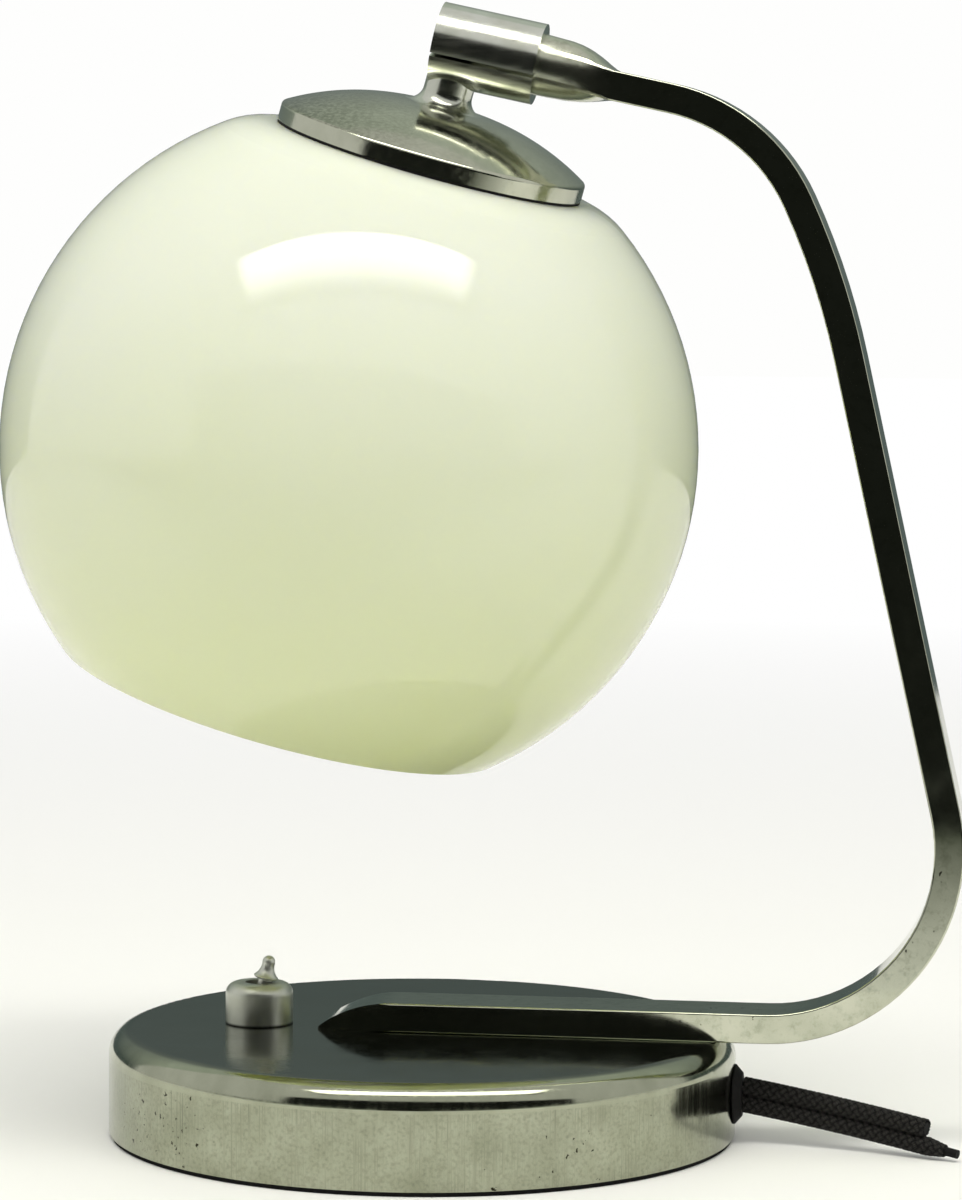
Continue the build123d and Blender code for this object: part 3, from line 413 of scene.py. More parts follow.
# %% [markdown]
# ## Streaks on the drum
# The drum has had the hardest life. Its side shows fine upright streaks, left by the roller that formed
# it. A noise that is squeezed to a hair's width and stretched along Z gives the streaks, and a slow
# noise lets them come and go.

# %% Streaks
STREAK_MM = (0.22, 0.22, 24.0)
STREAK_NOISE = (0.5, 0.8)
STREAK_DEPTH = 0.6
STREAK_PATCH_MM = 13.0
PATCH_NOISE = (0.38, 0.62)
PATCH_LEAST = 0.2


def streaks(tree, place):
    """A mask of fine upright streaks that come and go."""
    squeeze = add(
        tree, "ShaderNodeMapping", {"Vector": place, "Scale": [per_mm(size) for size in STREAK_MM]}
    )
    hair = add(tree, "ShaderNodeTexNoise", {"Vector": squeeze.outputs[0], "Scale": 1.0, "Detail": 3.0})
    streak = add(
        tree, "ShaderNodeMapRange",
        {
            "Value": hair.outputs["Fac"], "From Min": STREAK_NOISE[0], "From Max": STREAK_NOISE[1],
            "To Min": 0.0, "To Max": STREAK_DEPTH,
        },
    )
    patch = add(
        tree, "ShaderNodeTexNoise", {"Vector": place, "Scale": per_mm(STREAK_PATCH_MM), "Detail": 1.0}
    )
    come_and_go = add(
        tree, "ShaderNodeMapRange",
        {
            "Value": patch.outputs["Fac"], "From Min": PATCH_NOISE[0], "From Max": PATCH_NOISE[1],
            "To Min": PATCH_LEAST, "To Max": 1.0,
        },
    )
    return add(
        tree, "ShaderNodeMath", {0: streak.outputs[0], 1: come_and_go.outputs[0]}, operation="MULTIPLY"
    ).outputs[0]


print("streaks", STREAK_MM[0], "mm wide and", STREAK_MM[2], "mm long")

# %% [markdown]
# ## Wear of the drum, and its painted shade
# A mottled tarnish and two patches of corrosion pits join the streaks on the drum's side. Together they
# are one mask, which puts a third colour on top of the nickel. The drum's flat top is painted darker
# than its side, a painted shade that dims what the top mirrors, and the height tells the two apart.

# %% Wear of the drum
STREAK_TOP_MM = 17.0
MOTTLE_MM = 0.8
MOTTLE_NOISE = (0.45, 0.75)
MOTTLE_DEPTH = 0.3
FLAT_TOP_MM = (22.3, 22.6)
TOP_SHADE_SHARE = 0.7
DRUM_PITS_MM = (((-49.0, -46.0, 7.0), 21.0, 0.9), ((38.0, -55.0, 7.0), 28.0, 0.16))
NICKEL_TOP_SHADE = "#4C524C"


def wear_and_shade_drum(material):
    tree, shader, plate, place = opened(material)
    height = add(tree, "ShaderNodeSeparateXYZ", {0: place}).outputs["Z"]
    lined = streaks(tree, place)
    spots = add(
        tree, "ShaderNodeTexNoise", {"Vector": place, "Scale": per_mm(MOTTLE_MM), "Detail": 4.0}
    )
    mottle = add(
        tree, "ShaderNodeMapRange",
        {
            "Value": spots.outputs["Fac"], "From Min": MOTTLE_NOISE[0], "From Max": MOTTLE_NOISE[1],
            "To Min": 0.0, "To Max": MOTTLE_DEPTH,
        },
    )
    either = add(tree, "ShaderNodeMath", {0: lined, 1: mottle.outputs[0]}, operation="MAXIMUM")
    pits = pitting(tree, place, DRUM_PITS_MM)
    worn = add(tree, "ShaderNodeMath", {0: either.outputs[0], 1: pits}, operation="MAXIMUM")
    on_side = add(tree, "ShaderNodeMath", {0: height, 1: STREAK_TOP_MM * MM}, operation="LESS_THAN")
    worn_side = add(
        tree, "ShaderNodeMath", {0: worn.outputs[0], 1: on_side.outputs[0]}, operation="MULTIPLY"
    )
    side = add(
        tree, "ShaderNodeMix", {"Factor": worn_side.outputs[0], "A": plate, "B": linear(NICKEL_WORN)},
        data_type="RGBA",
    )
    # The flat top: painted shade, a darker colour that dims the top's reflections.
    top_shade = add(
        tree, "ShaderNodeMapRange",
        {
            "Value": height, "From Min": FLAT_TOP_MM[0] * MM, "From Max": FLAT_TOP_MM[1] * MM,
            "To Min": 0.0, "To Max": TOP_SHADE_SHARE,
        },
    )
    whole = add(
        tree, "ShaderNodeMix",
        {"Factor": top_shade.outputs[0], "A": side.outputs["Result"], "B": linear(NICKEL_TOP_SHADE)},
        data_type="RGBA",
    )
    tree.links.new(whole.outputs["Result"], shader.inputs["Base Color"])
    print("drum worn in", len(DRUM_PITS_MM), "patches")


wear_and_shade_drum(NICKEL_DRUM)

# %% [markdown]
# ## The buckled sheet
# The drum is pressed from sheet that is very slightly buckled, so the arm's reflection in its top has
# wavy edges. A broad shallow bump, added to the bump of the polished lines, does that.

# %% Buckled sheet
BUCKLE_MM = 24.0
BUCKLE_DEPTH_MM = 0.13


def buckle(material):
    tree = material.node_tree
    normal = tree.nodes["Principled BSDF"].inputs["Normal"]
    place = add(tree, "ShaderNodeTexCoord").outputs["Object"]
    broad = add(
        tree, "ShaderNodeTexNoise", {"Vector": place, "Scale": per_mm(BUCKLE_MM), "Detail": 1.0}
    )
    buckled = add(
        tree, "ShaderNodeBump",
        {
            "Height": broad.outputs["Fac"], "Strength": 1.0, "Distance": BUCKLE_DEPTH_MM * MM,
            "Normal": normal.links[0].from_socket,
        },
    )
    tree.links.new(buckled.outputs[0], normal)
    print("sheet buckled by", BUCKLE_DEPTH_MM, "mm")


buckle(NICKEL_DRUM)

# %% [markdown]
# ## Opal glass
# Opal glass is cased: a clear skin over a milky body that scatters light. Most of the light that goes
# in comes out near by, so subsurface scattering gives the soft glow of the ball, and the low roughness
# of the clear skin gives the sharp reflection of the lamp above it. The glass was blown downwards, so
# its milky body is thickest at the top and thins to a yellower tone at the mouth, with a slow noise in
# it. The colour is also painted darker towards the mouth, a painted shade for the weaker light below.

# %% Opal glass
OPAL_TOP_LIT = "#ECF7D2"
OPAL_LOW_SHADED = "#E1EEA7"
OPAL_CLOUD_MM = 45.0
OPAL_DRIFT_MM = 30.0
OPAL_Z_MM = (80.0, 200.0)
OPAL_DEPTH_MM = 12.0
OPAL_DEPTH_RGB = (1.0, 1.0, 0.7)


def opal_glass():
    material, tree, shader = new_material(
        "glass_opal_cased", Roughness=0.03, IOR=1.5, Subsurface_Weight=0.85,
        Subsurface_Scale=OPAL_DEPTH_MM * MM, Subsurface_Radius=OPAL_DEPTH_RGB,
    )
    place = add(tree, "ShaderNodeTexCoord").outputs["Object"]
    height = add(tree, "ShaderNodeSeparateXYZ", {0: place}).outputs["Z"]
    cloud = add(
        tree, "ShaderNodeTexNoise", {"Vector": place, "Scale": per_mm(OPAL_CLOUD_MM), "Detail": 3.0}
    )
    drift = add(
        tree, "ShaderNodeMath", {0: cloud.outputs["Fac"], 1: OPAL_DRIFT_MM * MM, 2: height},
        operation="MULTIPLY_ADD",
    )
    gradient_share = add(
        tree, "ShaderNodeMapRange",
        {"Value": drift.outputs[0], "From Min": OPAL_Z_MM[0] * MM, "From Max": OPAL_Z_MM[1] * MM},
    )
    # Darker and yellower towards the mouth: the yellower tone belongs to the glass, the darkening is
    # painted shade.
    tone_and_shade = add(
        tree, "ShaderNodeMix",
        {"Factor": gradient_share.outputs[0], "A": linear(OPAL_LOW_SHADED), "B": linear(OPAL_TOP_LIT)}, data_type="RGBA",
    )
    tree.links.new(tone_and_shade.outputs["Result"], shader.inputs["Base Color"])
    return material


OPAL_GLASS = opal_glass()
print("opal glass", OPAL_TOP_LIT, "to", OPAL_LOW_SHADED)

# %% [markdown]
# ## The plain finishes
# The pieces inside the drum and the ball are seen only from below or when the lamp is taken apart.
# Each still has the surface of what it is made of: felt, cast iron, plated steel, brass, moulded
# phenolic resin, porcelain, rubber and the plastic of the leads. They share one recipe, two colours
# mixed by a noise of the grain's size, with a bump of the same grain. A grain that is too fine to show,
# as that of felt or rubber, is drawn about half a millimetre wide.

# %% Grained finish
GRAIN_STRENGTH = 0.5


def grained(name, dark, light, grain_mm, metallic, roughness, relief_mm, shine=0.5):
    """Two colours in a grain of that size, which stands up by relief_mm."""
    material, tree, shader = new_material(
        name, Metallic=metallic, Roughness=roughness, Specular_IOR_Level=shine
    )
    place = add(tree, "ShaderNodeTexCoord").outputs["Object"]
    grain = add(
        tree, "ShaderNodeTexNoise", {"Vector": place, "Scale": per_mm(grain_mm), "Detail": 4.0}
    )
    colour = add(
        tree, "ShaderNodeMix", {"Factor": grain.outputs["Fac"], "A": linear(dark), "B": linear(light)},
        data_type="RGBA",
    )
    bump = add(
        tree, "ShaderNodeBump",
        {"Height": grain.outputs["Fac"], "Strength": GRAIN_STRENGTH, "Distance": relief_mm * MM},
    )
    tree.links.new(colour.outputs["Result"], shader.inputs["Base Color"])
    tree.links.new(bump.outputs[0], shader.inputs["Normal"])
    return material


print("bump of a grain at strength", GRAIN_STRENGTH)

# %% [markdown]
# ## The cotton sleeve
# The flex has a sleeve of waxed black cotton, painted paler where the braid's yarns come to the top, a
# painted highlight where they catch the light. The braid's mesh, made further on, marks these crowns in
# an attribute of its own, and the finish reads it.
# A single fibre is too fine to show, so the cotton's fuzz is drawn coarser.

# %% Cotton sleeve
FIBRE_MM = 0.4
FIBRE_RELIEF_MM = 0.08
COTTON_BLACK = "#020202"
COTTON_CROWN_HIGHLIGHT = "#454340"


def cotton_sleeve():
    """Waxed black cotton, with a painted highlight on the crowns of the braid, which the mesh marks."""
    material, tree, shader = new_material(
        "cotton_braid_waxed_black", Roughness=0.7, Specular_IOR_Level=0.2
    )
    place = add(tree, "ShaderNodeTexCoord").outputs["Object"]
    fibre = add(
        tree, "ShaderNodeTexNoise", {"Vector": place, "Scale": per_mm(FIBRE_MM), "Detail": 3.0}
    )
    crown = add(tree, "ShaderNodeAttribute", attribute_name="crown").outputs["Fac"]
    # Painted highlight: the crowns of the yarns are paler.
    crown_highlight = add(tree, "ShaderNodeMath", {0: fibre.outputs["Fac"], 1: crown}, operation="MULTIPLY")
    colour = add(
        tree, "ShaderNodeMix",
        {"Factor": crown_highlight.outputs[0], "A": linear(COTTON_BLACK), "B": linear(COTTON_CROWN_HIGHLIGHT)},
        data_type="RGBA",
    )
    bump = add(
        tree, "ShaderNodeBump",
        {"Height": fibre.outputs["Fac"], "Strength": GRAIN_STRENGTH, "Distance": FIBRE_RELIEF_MM * MM},
    )
    tree.links.new(colour.outputs["Result"], shader.inputs["Base Color"])
    tree.links.new(bump.outputs[0], shader.inputs["Normal"])
    return material


print("cotton fibres of", FIBRE_MM, "mm")

# %% [markdown]
# ## A finish for each slot
# The lamp's record gives every solid a material slot, and most slots have one finish here. Nickel has
# several, because the plated pieces have worn in different ways, so those are chosen piece by piece,
# and so is the moulded body of the switch. Felt drinks the light, and cast iron is dark and rough. Zinc
# plate is a dull grey mirror and turned brass a warm one. Phenolic resin is nearly black with a soft
# gloss, glazed porcelain looks wet, rubber is flat black, and the frosted bulb is an even white.

# %% All finishes
FINISHES = {
    "felt": grained("felt_wool_black", "#0D0D0E", "#222221", 0.5, 0.0, 0.95, 0.3, shine=0.1),
    "cast_iron": grained("iron_sand_cast", "#232425", "#3A3B3B", 1.6, 1.0, 0.6, 0.2),
    "steel": grained("steel_zinc_plated", "#8C9093", "#B4B8B8", 0.8, 1.0, 0.35, 0.01),
    "brass": grained("brass_turned", "#9C7838", "#C8A45C", 1.5, 1.0, 0.3, 0.01),
    "phenolic": grained("phenolic_moulded_black", "#15110E", "#231B16", 3.0, 0.0, 0.25, 0.01),
    "porcelain": grained("porcelain_glazed", "#DEDCD2", "#F1EFE8", 6.0, 0.0, 0.12, 0.01),
    "rubber": grained("rubber_black", "#050505", "#141312", 0.7, 0.0, 0.7, 0.03, shine=0.2),
    "lead": grained("pvc_sleeving_black", "#101011", "#1B1B1C", 1.2, 0.0, 0.45, 0.02),
    "textile_flex": cotton_sleeve(),
    "bulb_glass": grained("glass_frosted_bulb", "#D8D8D2", "#EFEFEA", 4.0, 0.0, 0.5, 0.02),
    "opal_glass": OPAL_GLASS,
    "nickel": NICKEL_SMALL,
}
print("finishes:", ", ".join(FINISHES))

# %% Finishes on the solids
PIECE_FINISH = {
    "base_shell": NICKEL_DRUM, "arm": NICKEL_ARM, "cap": NICKEL_CAP, "knuckle": NICKEL_SATIN,
    "switch_collar": NICKEL_MATT, "switch_lever": NICKEL_MATT, "switch_body": FINISHES["phenolic"],
}
SLOT_OF = {part["node"]: part["material_slot"] for part in frame["record"]["subparts"]}


def finish_of(node):
    return PIECE_FINISH[node] if node in PIECE_FINISH else FINISHES[SLOT_OF[node]]


for node, piece in frame["nodes"].items():
    piece.data.materials.clear()
    piece.data.materials.append(finish_of(node))
print("finished", len(frame["nodes"]), "solids")

# %% [markdown]
# ## The flex
# The mains flex is two cores side by side, one above the other, each in a braided cotton sleeve. Its
# line is a NURBS curve with the same three control points as the plain solid's: out of the drum's side,
# down, and forward to the cut end just above the table. A picture of a braid on a smooth tube looks
# painted on, because a braid's edge is bumpy, so each yarn is made. Geometry Nodes suit that: one path
# is copied once for every yarn, and each copy is wound round its core as a helix. Half of the strands
# wind to the left and half to the right, and a cosine lifts them over and under each other.

# %% Route of the flex
CORD_ROUTE = ((69.3, 0.0, 10.4), (92.0, -2.5, 7.0), (113.3, -12.5, 3.9))
CORE_D = 3.7
CORE_STEP = 5.0
ROUTE_STEPS = 40

route = bpy.data.curves.new("flex_route", "CURVE")
route.dimensions = "3D"
spline = route.splines.new("NURBS")
spline.points.add(len(CORD_ROUTE) - 1)
for point, place in zip(spline.points, CORD_ROUTE):
    point.co = (*(Vector(place) * MM), 1.0)
spline.order_u = 3
spline.use_endpoint_u = True
spline.resolution_u = ROUTE_STEPS
route_object = bpy.data.objects.new("flex_route", route)
bpy.context.scene.collection.objects.link(route_object)
flex_line = bpy.data.meshes.new_from_object(route_object)
bpy.data.objects.remove(route_object)

# %% [markdown]
# ## The braid's inputs
# The tree that makes the braid has a named input for each of its sizes, so another flex needs only
# other numbers. The next cells build it, one stage in each.

# %% Inputs of the braid
SLEEVE_D = 4.15
YARN_D = 0.5
PLAIT_TURN = 12.0
STRANDS = 6
YARNS = 3
YARN_STEP = 0.26
BRAID_SIZES = {
    "Core spacing": CORE_D * MM, "Sleeve diameter": SLEEVE_D * MM, "Yarn diameter": YARN_D * MM,
    "Full turn": PLAIT_TURN * MM, "Short core": CORE_STEP * MM, "Step": YARN_STEP * MM,
    "Strands each way": STRANDS, "Yarns in a strand": YARNS,
}

braid = bpy.data.node_groups.new("braided_flex", "GeometryNodeTree")
braid.interface.new_socket("Geometry", in_out="INPUT", socket_type="NodeSocketGeometry")
for label, size in BRAID_SIZES.items():
    kind = "NodeSocketInt" if isinstance(size, int) else "NodeSocketFloat"
    braid.interface.new_socket(label, in_out="INPUT", socket_type=kind)
braid.interface.new_socket("Geometry", in_out="OUTPUT", socket_type="NodeSocketGeometry")
given = add(braid, "NodeGroupInput").outputs
print("braid inputs:", ", ".join(BRAID_SIZES))

# %% [markdown]
# ## Two cores
# The path is copied once for each core, and the upper core's copy is cut a few millimetres shorter, as
# the real one is. Small even steps along both keep the yarns' waves smooth.

# %% Cores of the braid
path = add(braid, "GeometryNodeMeshToCurve", {"Mesh": given["Geometry"]})
cores = add(
    braid, "GeometryNodeDuplicateElements", {"Geometry": path.outputs[0], "Amount": 2}, domain="SPLINE"
)
core = cores.outputs["Duplicate Index"]
whole = add(braid, "GeometryNodeSplineLength").outputs["Length"]
back = add(braid, "ShaderNodeMath", {0: core, 1: given["Short core"]}, operation="MULTIPLY").outputs[0]
cut_at = add(braid, "ShaderNodeMath", {0: whole, 1: back}, operation="SUBTRACT").outputs[0]
cut = add(braid, "GeometryNodeTrimCurve", {"Curve": cores.outputs["Geometry"]}, mode="LENGTH")
ends = [socket for socket in cut.inputs if socket.name == "End" and socket.type == "VALUE"]
braid.links.new(cut_at, ends[-1])
even = add(
    braid, "GeometryNodeResampleCurve", {"Curve": cut.outputs[0], "Length": given["Step"]},
    mode="LENGTH",
)
print("upper core", CORE_STEP, "mm shorter, steps of", YARN_STEP, "mm")

# %% [markdown]
# ## One path for each yarn
# Each core's path is copied for the two ways of winding, then for the strands of each way, and then for
# the yarns that lie side by side in a strand. The number of each copy tells a yarn where it belongs.

# %% Yarns of the braid
hands = add(
    braid, "GeometryNodeDuplicateElements", {"Geometry": even.outputs[0], "Amount": 2}, domain="SPLINE"
)
strands = add(
    braid, "GeometryNodeDuplicateElements",
    {"Geometry": hands.outputs["Geometry"], "Amount": given["Strands each way"]}, domain="SPLINE",
)
yarns = add(
    braid, "GeometryNodeDuplicateElements",
    {"Geometry": strands.outputs["Geometry"], "Amount": given["Yarns in a strand"]}, domain="SPLINE",
)
strand = strands.outputs["Duplicate Index"]
yarn = yarns.outputs["Duplicate Index"]
hand = add(
    braid, "ShaderNodeMath", {0: hands.outputs["Duplicate Index"], 1: -2.0, 2: 1.0},
    operation="MULTIPLY_ADD",
).outputs[0]
print("yarns on both cores:", 2 * 2 * STRANDS * YARNS)

# %% [markdown]
# ## Round the core
# A yarn's place is worked out from how far along the flex it is. Dividing that by the length of one
# full turn gives its turns, the sign depends on which way its strand winds, and the strand's and the
# yarn's own numbers turn it on from there.

# %% Turns of the braid
along = add(braid, "GeometryNodeSplineParameter").outputs["Length"]
turns = add(braid, "ShaderNodeMath", {0: along, 1: given["Full turn"]}, operation="DIVIDE").outputs[0]
middle = add(braid, "ShaderNodeMath", {0: yarn, 1: 0.5}, operation="ADD").outputs[0]
part = add(
    braid, "ShaderNodeMath", {0: middle, 1: given["Yarns in a strand"]}, operation="DIVIDE"
).outputs[0]
off = add(braid, "ShaderNodeMath", {0: part, 1: 0.5}, operation="SUBTRACT").outputs[0]
number = add(braid, "ShaderNodeMath", {0: strand, 1: off}, operation="ADD").outputs[0]
first = add(
    braid, "ShaderNodeMath", {0: number, 1: given["Strands each way"]}, operation="DIVIDE"
).outputs[0]
wound = add(braid, "ShaderNodeMath", {0: turns, 1: hand, 2: first}, operation="MULTIPLY_ADD").outputs[0]
angle = add(braid, "ShaderNodeMath", {0: wound, 1: 2 * pi}, operation="MULTIPLY").outputs[0]
print("a yarn turns once in", PLAIT_TURN, "mm")

# %% [markdown]
# ## Over and under
# The same turns, times the number of strands, drive the cosine that carries a yarn over one crossing
# and under the next. At the lower core's cut end the sleeve has been drawn down to the rubber inside,
# so the yarns come closer to the core's middle there.

# %% Waves of the braid
CUT_TAPER_L = 4.0
CUT_TAPER = 0.62

crossings = add(
    braid, "ShaderNodeMath", {0: turns, 1: given["Strands each way"]}, operation="MULTIPLY"
).outputs[0]
lag = add(braid, "ShaderNodeMath", {0: off, 1: hand}, operation="MULTIPLY").outputs[0]
wave = add(braid, "ShaderNodeMath", {0: lag, 1: 0.5, 2: crossings}, operation="MULTIPLY_ADD").outputs[0]
wave_angle = add(braid, "ShaderNodeMath", {0: wave, 1: 2 * pi}, operation="MULTIPLY").outputs[0]
rise = add(braid, "ShaderNodeMath", {0: wave_angle}, operation="COSINE").outputs[0]
signed = add(braid, "ShaderNodeMath", {0: rise, 1: hand}, operation="MULTIPLY").outputs[0]
yarn_r = add(
    braid, "ShaderNodeMath", {0: given["Yarn diameter"], 1: 0.5}, operation="MULTIPLY"
).outputs[0]
core_r = add(
    braid, "ShaderNodeMath", {0: given["Sleeve diameter"], 1: 0.5}, operation="MULTIPLY"
).outputs[0]
bed = add(
    braid, "ShaderNodeMath", {0: core_r, 1: given["Yarn diameter"]}, operation="SUBTRACT"
).outputs[0]
lifted = add(
    braid, "ShaderNodeMath", {0: signed, 1: yarn_r, 2: bed}, operation="MULTIPLY_ADD"
).outputs[0]
drawn_to = add(
    braid, "ShaderNodeMath", {0: core, 1: 1 - CUT_TAPER, 2: CUT_TAPER}, operation="MULTIPLY_ADD"
).outputs[0]
taper_from = add(
    braid, "ShaderNodeMath", {0: whole, 1: CUT_TAPER_L * MM}, operation="SUBTRACT"
).outputs[0]
drawn = add(
    braid, "ShaderNodeMapRange",
    {"Value": along, "From Min": taper_from, "From Max": whole, "To Min": 1.0, "To Max": drawn_to},
).outputs[0]
radius = add(braid, "ShaderNodeMath", {0: lifted, 1: drawn}, operation="MULTIPLY").outputs[0]
print("sleeve drawn down to", CUT_TAPER, "in its last", CUT_TAPER_L, "mm")

# %% [markdown]
# ## Placing the yarns
# The flex's own direction and the upright give two directions across it, to the side and up. The cosine
# and the sine of a yarn's angle move it along these, from its own core's middle. The top of each wave
# is stored with the yarn as its crown, for the painted highlight in the cotton's colour.

# %% Places of the yarns
CROWN_FROM = 0.55

ahead = add(braid, "GeometryNodeInputTangent").outputs[0]
flat = add(
    braid, "ShaderNodeVectorMath", {0: ahead, 1: (0, 0, 1)}, operation="CROSS_PRODUCT"
).outputs[0]
side = add(braid, "ShaderNodeVectorMath", {0: flat}, operation="NORMALIZE").outputs[0]
up = add(braid, "ShaderNodeVectorMath", {0: side, 1: ahead}, operation="CROSS_PRODUCT").outputs[0]
which = add(braid, "ShaderNodeMath", {0: core, 1: 0.5}, operation="SUBTRACT").outputs[0]
core_up = add(
    braid, "ShaderNodeMath", {0: which, 1: given["Core spacing"]}, operation="MULTIPLY"
).outputs[0]
cosine = add(braid, "ShaderNodeMath", {0: angle}, operation="COSINE").outputs[0]
sine = add(braid, "ShaderNodeMath", {0: angle}, operation="SINE").outputs[0]
sideways = add(braid, "ShaderNodeMath", {0: cosine, 1: radius}, operation="MULTIPLY").outputs[0]
upwards = add(
    braid, "ShaderNodeMath", {0: sine, 1: radius, 2: core_up}, operation="MULTIPLY_ADD"
).outputs[0]
to_side = add(braid, "ShaderNodeVectorMath", {0: side, "Scale": sideways}, operation="SCALE").outputs[0]
to_top = add(braid, "ShaderNodeVectorMath", {0: up, "Scale": upwards}, operation="SCALE").outputs[0]
offset = add(braid, "ShaderNodeVectorMath", {0: to_side, 1: to_top}, operation="ADD").outputs[0]
crown = add(
    braid, "ShaderNodeMapRange", {"Value": signed, "From Min": CROWN_FROM, "From Max": 1.0}
).outputs[0]
marked = add(
    braid, "GeometryNodeStoreNamedAttribute",
    {"Geometry": yarns.outputs["Geometry"], "Name": "crown", "Value": crown},
    data_type="FLOAT", domain="POINT",
)
placed = add(braid, "GeometryNodeSetPosition", {"Geometry": marked.outputs[0], "Offset": offset})
print("a crown is the wave above", CROWN_FROM)

# %% [markdown]
# ## Cotton and rubber
# Every yarn's path gets a small section, with few sides because there are many yarns. A plain rubber
# core fills each sleeve, so no light shows through between the strands. Both get their finish, and the
# tree ends in one real mesh.

# %% Skin of the braid
YARN_SIDES = 6
CORE_SIDES = 16

yarn_ring = add(
    braid, "GeometryNodeCurvePrimitiveCircle", {"Resolution": YARN_SIDES, "Radius": yarn_r},
    mode="RADIUS",
)
yarn_mesh = add(
    braid, "GeometryNodeCurveToMesh",
    {"Curve": placed.outputs[0], "Profile Curve": yarn_ring.outputs[0], "Fill Caps": True},
)
cotton = add(
    braid, "GeometryNodeSetMaterial",
    {"Geometry": yarn_mesh.outputs[0], "Material": FINISHES["textile_flex"]},
)
core_rise = add(braid, "ShaderNodeVectorMath", {0: up, "Scale": core_up}, operation="SCALE").outputs[0]
bare = add(braid, "GeometryNodeSetPosition", {"Geometry": even.outputs[0], "Offset": core_rise})
under = add(braid, "ShaderNodeMath", {0: bed, 1: yarn_r}, operation="SUBTRACT").outputs[0]
core_ring = add(
    braid, "GeometryNodeCurvePrimitiveCircle", {"Resolution": CORE_SIDES, "Radius": under},
    mode="RADIUS",
)
core_mesh = add(
    braid, "GeometryNodeCurveToMesh",
    {"Curve": bare.outputs[0], "Profile Curve": core_ring.outputs[0], "Fill Caps": True},
)
rubber = add(
    braid, "GeometryNodeSetMaterial", {"Geometry": core_mesh.outputs[0], "Material": FINISHES["rubber"]}
)
both = add(braid, "GeometryNodeJoinGeometry")
braid.links.new(rubber.outputs[0], both.inputs[0])
braid.links.new(cotton.outputs[0], both.inputs[0])
real = add(braid, "GeometryNodeRealizeInstances", {"Geometry": both.outputs[0]})
add(braid, "NodeGroupOutput", {"Geometry": real.outputs[0]})
print("braid tree has", len(braid.nodes), "nodes")

# %% [markdown]
# ## The finished flex
# The tree goes on the flex's line as a modifier, its inputs are set by the sockets' identifiers, and
# the result is kept as a plain mesh. That mesh stands for the plain solid and rides on the base.

# %% Flex
def socket_id(tree, label):
    inputs = [item for item in tree.interface.items_tree if item.in_out == "INPUT"]
    return next(item.identifier for item in inputs if item.name == label)


flex = bpy.data.objects.new("mains_flex_braided", flex_line)
bpy.context.scene.collection.objects.link(flex)
winding = flex.modifiers.new("braid", "NODES")
winding.node_group = braid
for label, size in BRAID_SIZES.items():
    winding[socket_id(braid, label)] = size
shot = bpy.context.evaluated_depsgraph_get()
braided = bpy.data.meshes.new_from_object(flex.evaluated_get(shot))
flex.modifiers.clear()
flex.data = braided
braided.shade_smooth()
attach(flex, "base")
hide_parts("mains_cord")
print("flex has", len(braided.polygons), "faces in", [m.name for m in braided.materials])

# %% [markdown]
# ## The table
# A mirror-like lamp shows its room. Here that is a pale table that ends half a metre in front, a dark
# room behind the camera, a dim grey wall behind the lamp, light to the left and right, and one wide
# soft light overhead, a little in front. The table is the floor of the scene. Far away it would look
# grey against the white screen round it, so a veil that only the camera sees whitens it there.

# %% Table
TABLE_R = 4.0
CARD_LIFT = 0.001
VEIL_R = 0.3
VEIL_FULL_R = 1.2
SIDES = 64
ROUND = [2 * pi * step / SIDES for step in range(SIDES)]
PANELS = [(i, (i + 1) % SIDES, SIDES + (i + 1) % SIDES, SIDES + i) for i in range(SIDES)]


def card(name, corners, material, faces=None):
    mesh = bpy.data.meshes.new(name)
    mesh.from_pydata(corners, [], faces or [tuple(range(len(corners)))])
    mesh.materials.append(material)
    obj = bpy.data.objects.new(name, mesh)
    bpy.context.scene.collection.objects.link(obj)
    return obj


def seen_only_by(obj, camera_ray, glossy_ray):
    obj.visible_camera = camera_ray
    obj.visible_glossy = glossy_ray
    obj.visible_diffuse = False
    obj.visible_shadow = False
    obj.visible_transmission = False


def glow(name, colour, far_colour=None, axis="Z", start=0.0, end=1.0):
    """A card that shines by itself, in one colour or shading into a second along an axis."""
    material, tree, shader = new_material(
        name, Base_Color=linear("#000000"), Roughness=1.0, Specular_IOR_Level=0.0,
        Emission_Color=linear(colour), Emission_Strength=1.0,
    )
    if far_colour:
        place = add(tree, "ShaderNodeTexCoord").outputs["Object"]
        along = add(tree, "ShaderNodeSeparateXYZ", {0: place}).outputs[axis]
        share = add(tree, "ShaderNodeMapRange", {"Value": along, "From Min": start, "From Max": end})
        shade = add(
            tree, "ShaderNodeMix",
            {"Factor": share.outputs[0], "A": linear(colour), "B": linear(far_colour)},
            data_type="RGBA",
        )
        tree.links.new(shade.outputs["Result"], shader.inputs["Emission Color"])
    return material


table_top = new_material("table_pale", Base_Color=linear("#F2F2EF"), Roughness=0.9)[0]
card("table", [(TABLE_R * cos(a), TABLE_R * sin(a), 0) for a in ROUND], table_top)

veil = glow("table_veil", "#FFFFFF")
tree = veil.node_tree
place = add(tree, "ShaderNodeTexCoord").outputs["Object"]
away = add(tree, "ShaderNodeVectorMath", {0: place}, operation="LENGTH").outputs["Value"]
cover = add(tree, "ShaderNodeMapRange", {"Value": away, "From Min": VEIL_R, "From Max": VEIL_FULL_R})
tree.links.new(cover.outputs[0], tree.nodes["Principled BSDF"].inputs["Alpha"])
rings = [(r * cos(a), r * sin(a), CARD_LIFT) for r in (VEIL_R, TABLE_R) for a in ROUND]
seen_only_by(card("table_veil", rings, veil, PANELS), True, False)
print("table", 2 * TABLE_R, "m across, whitened beyond", VEIL_R, "m")

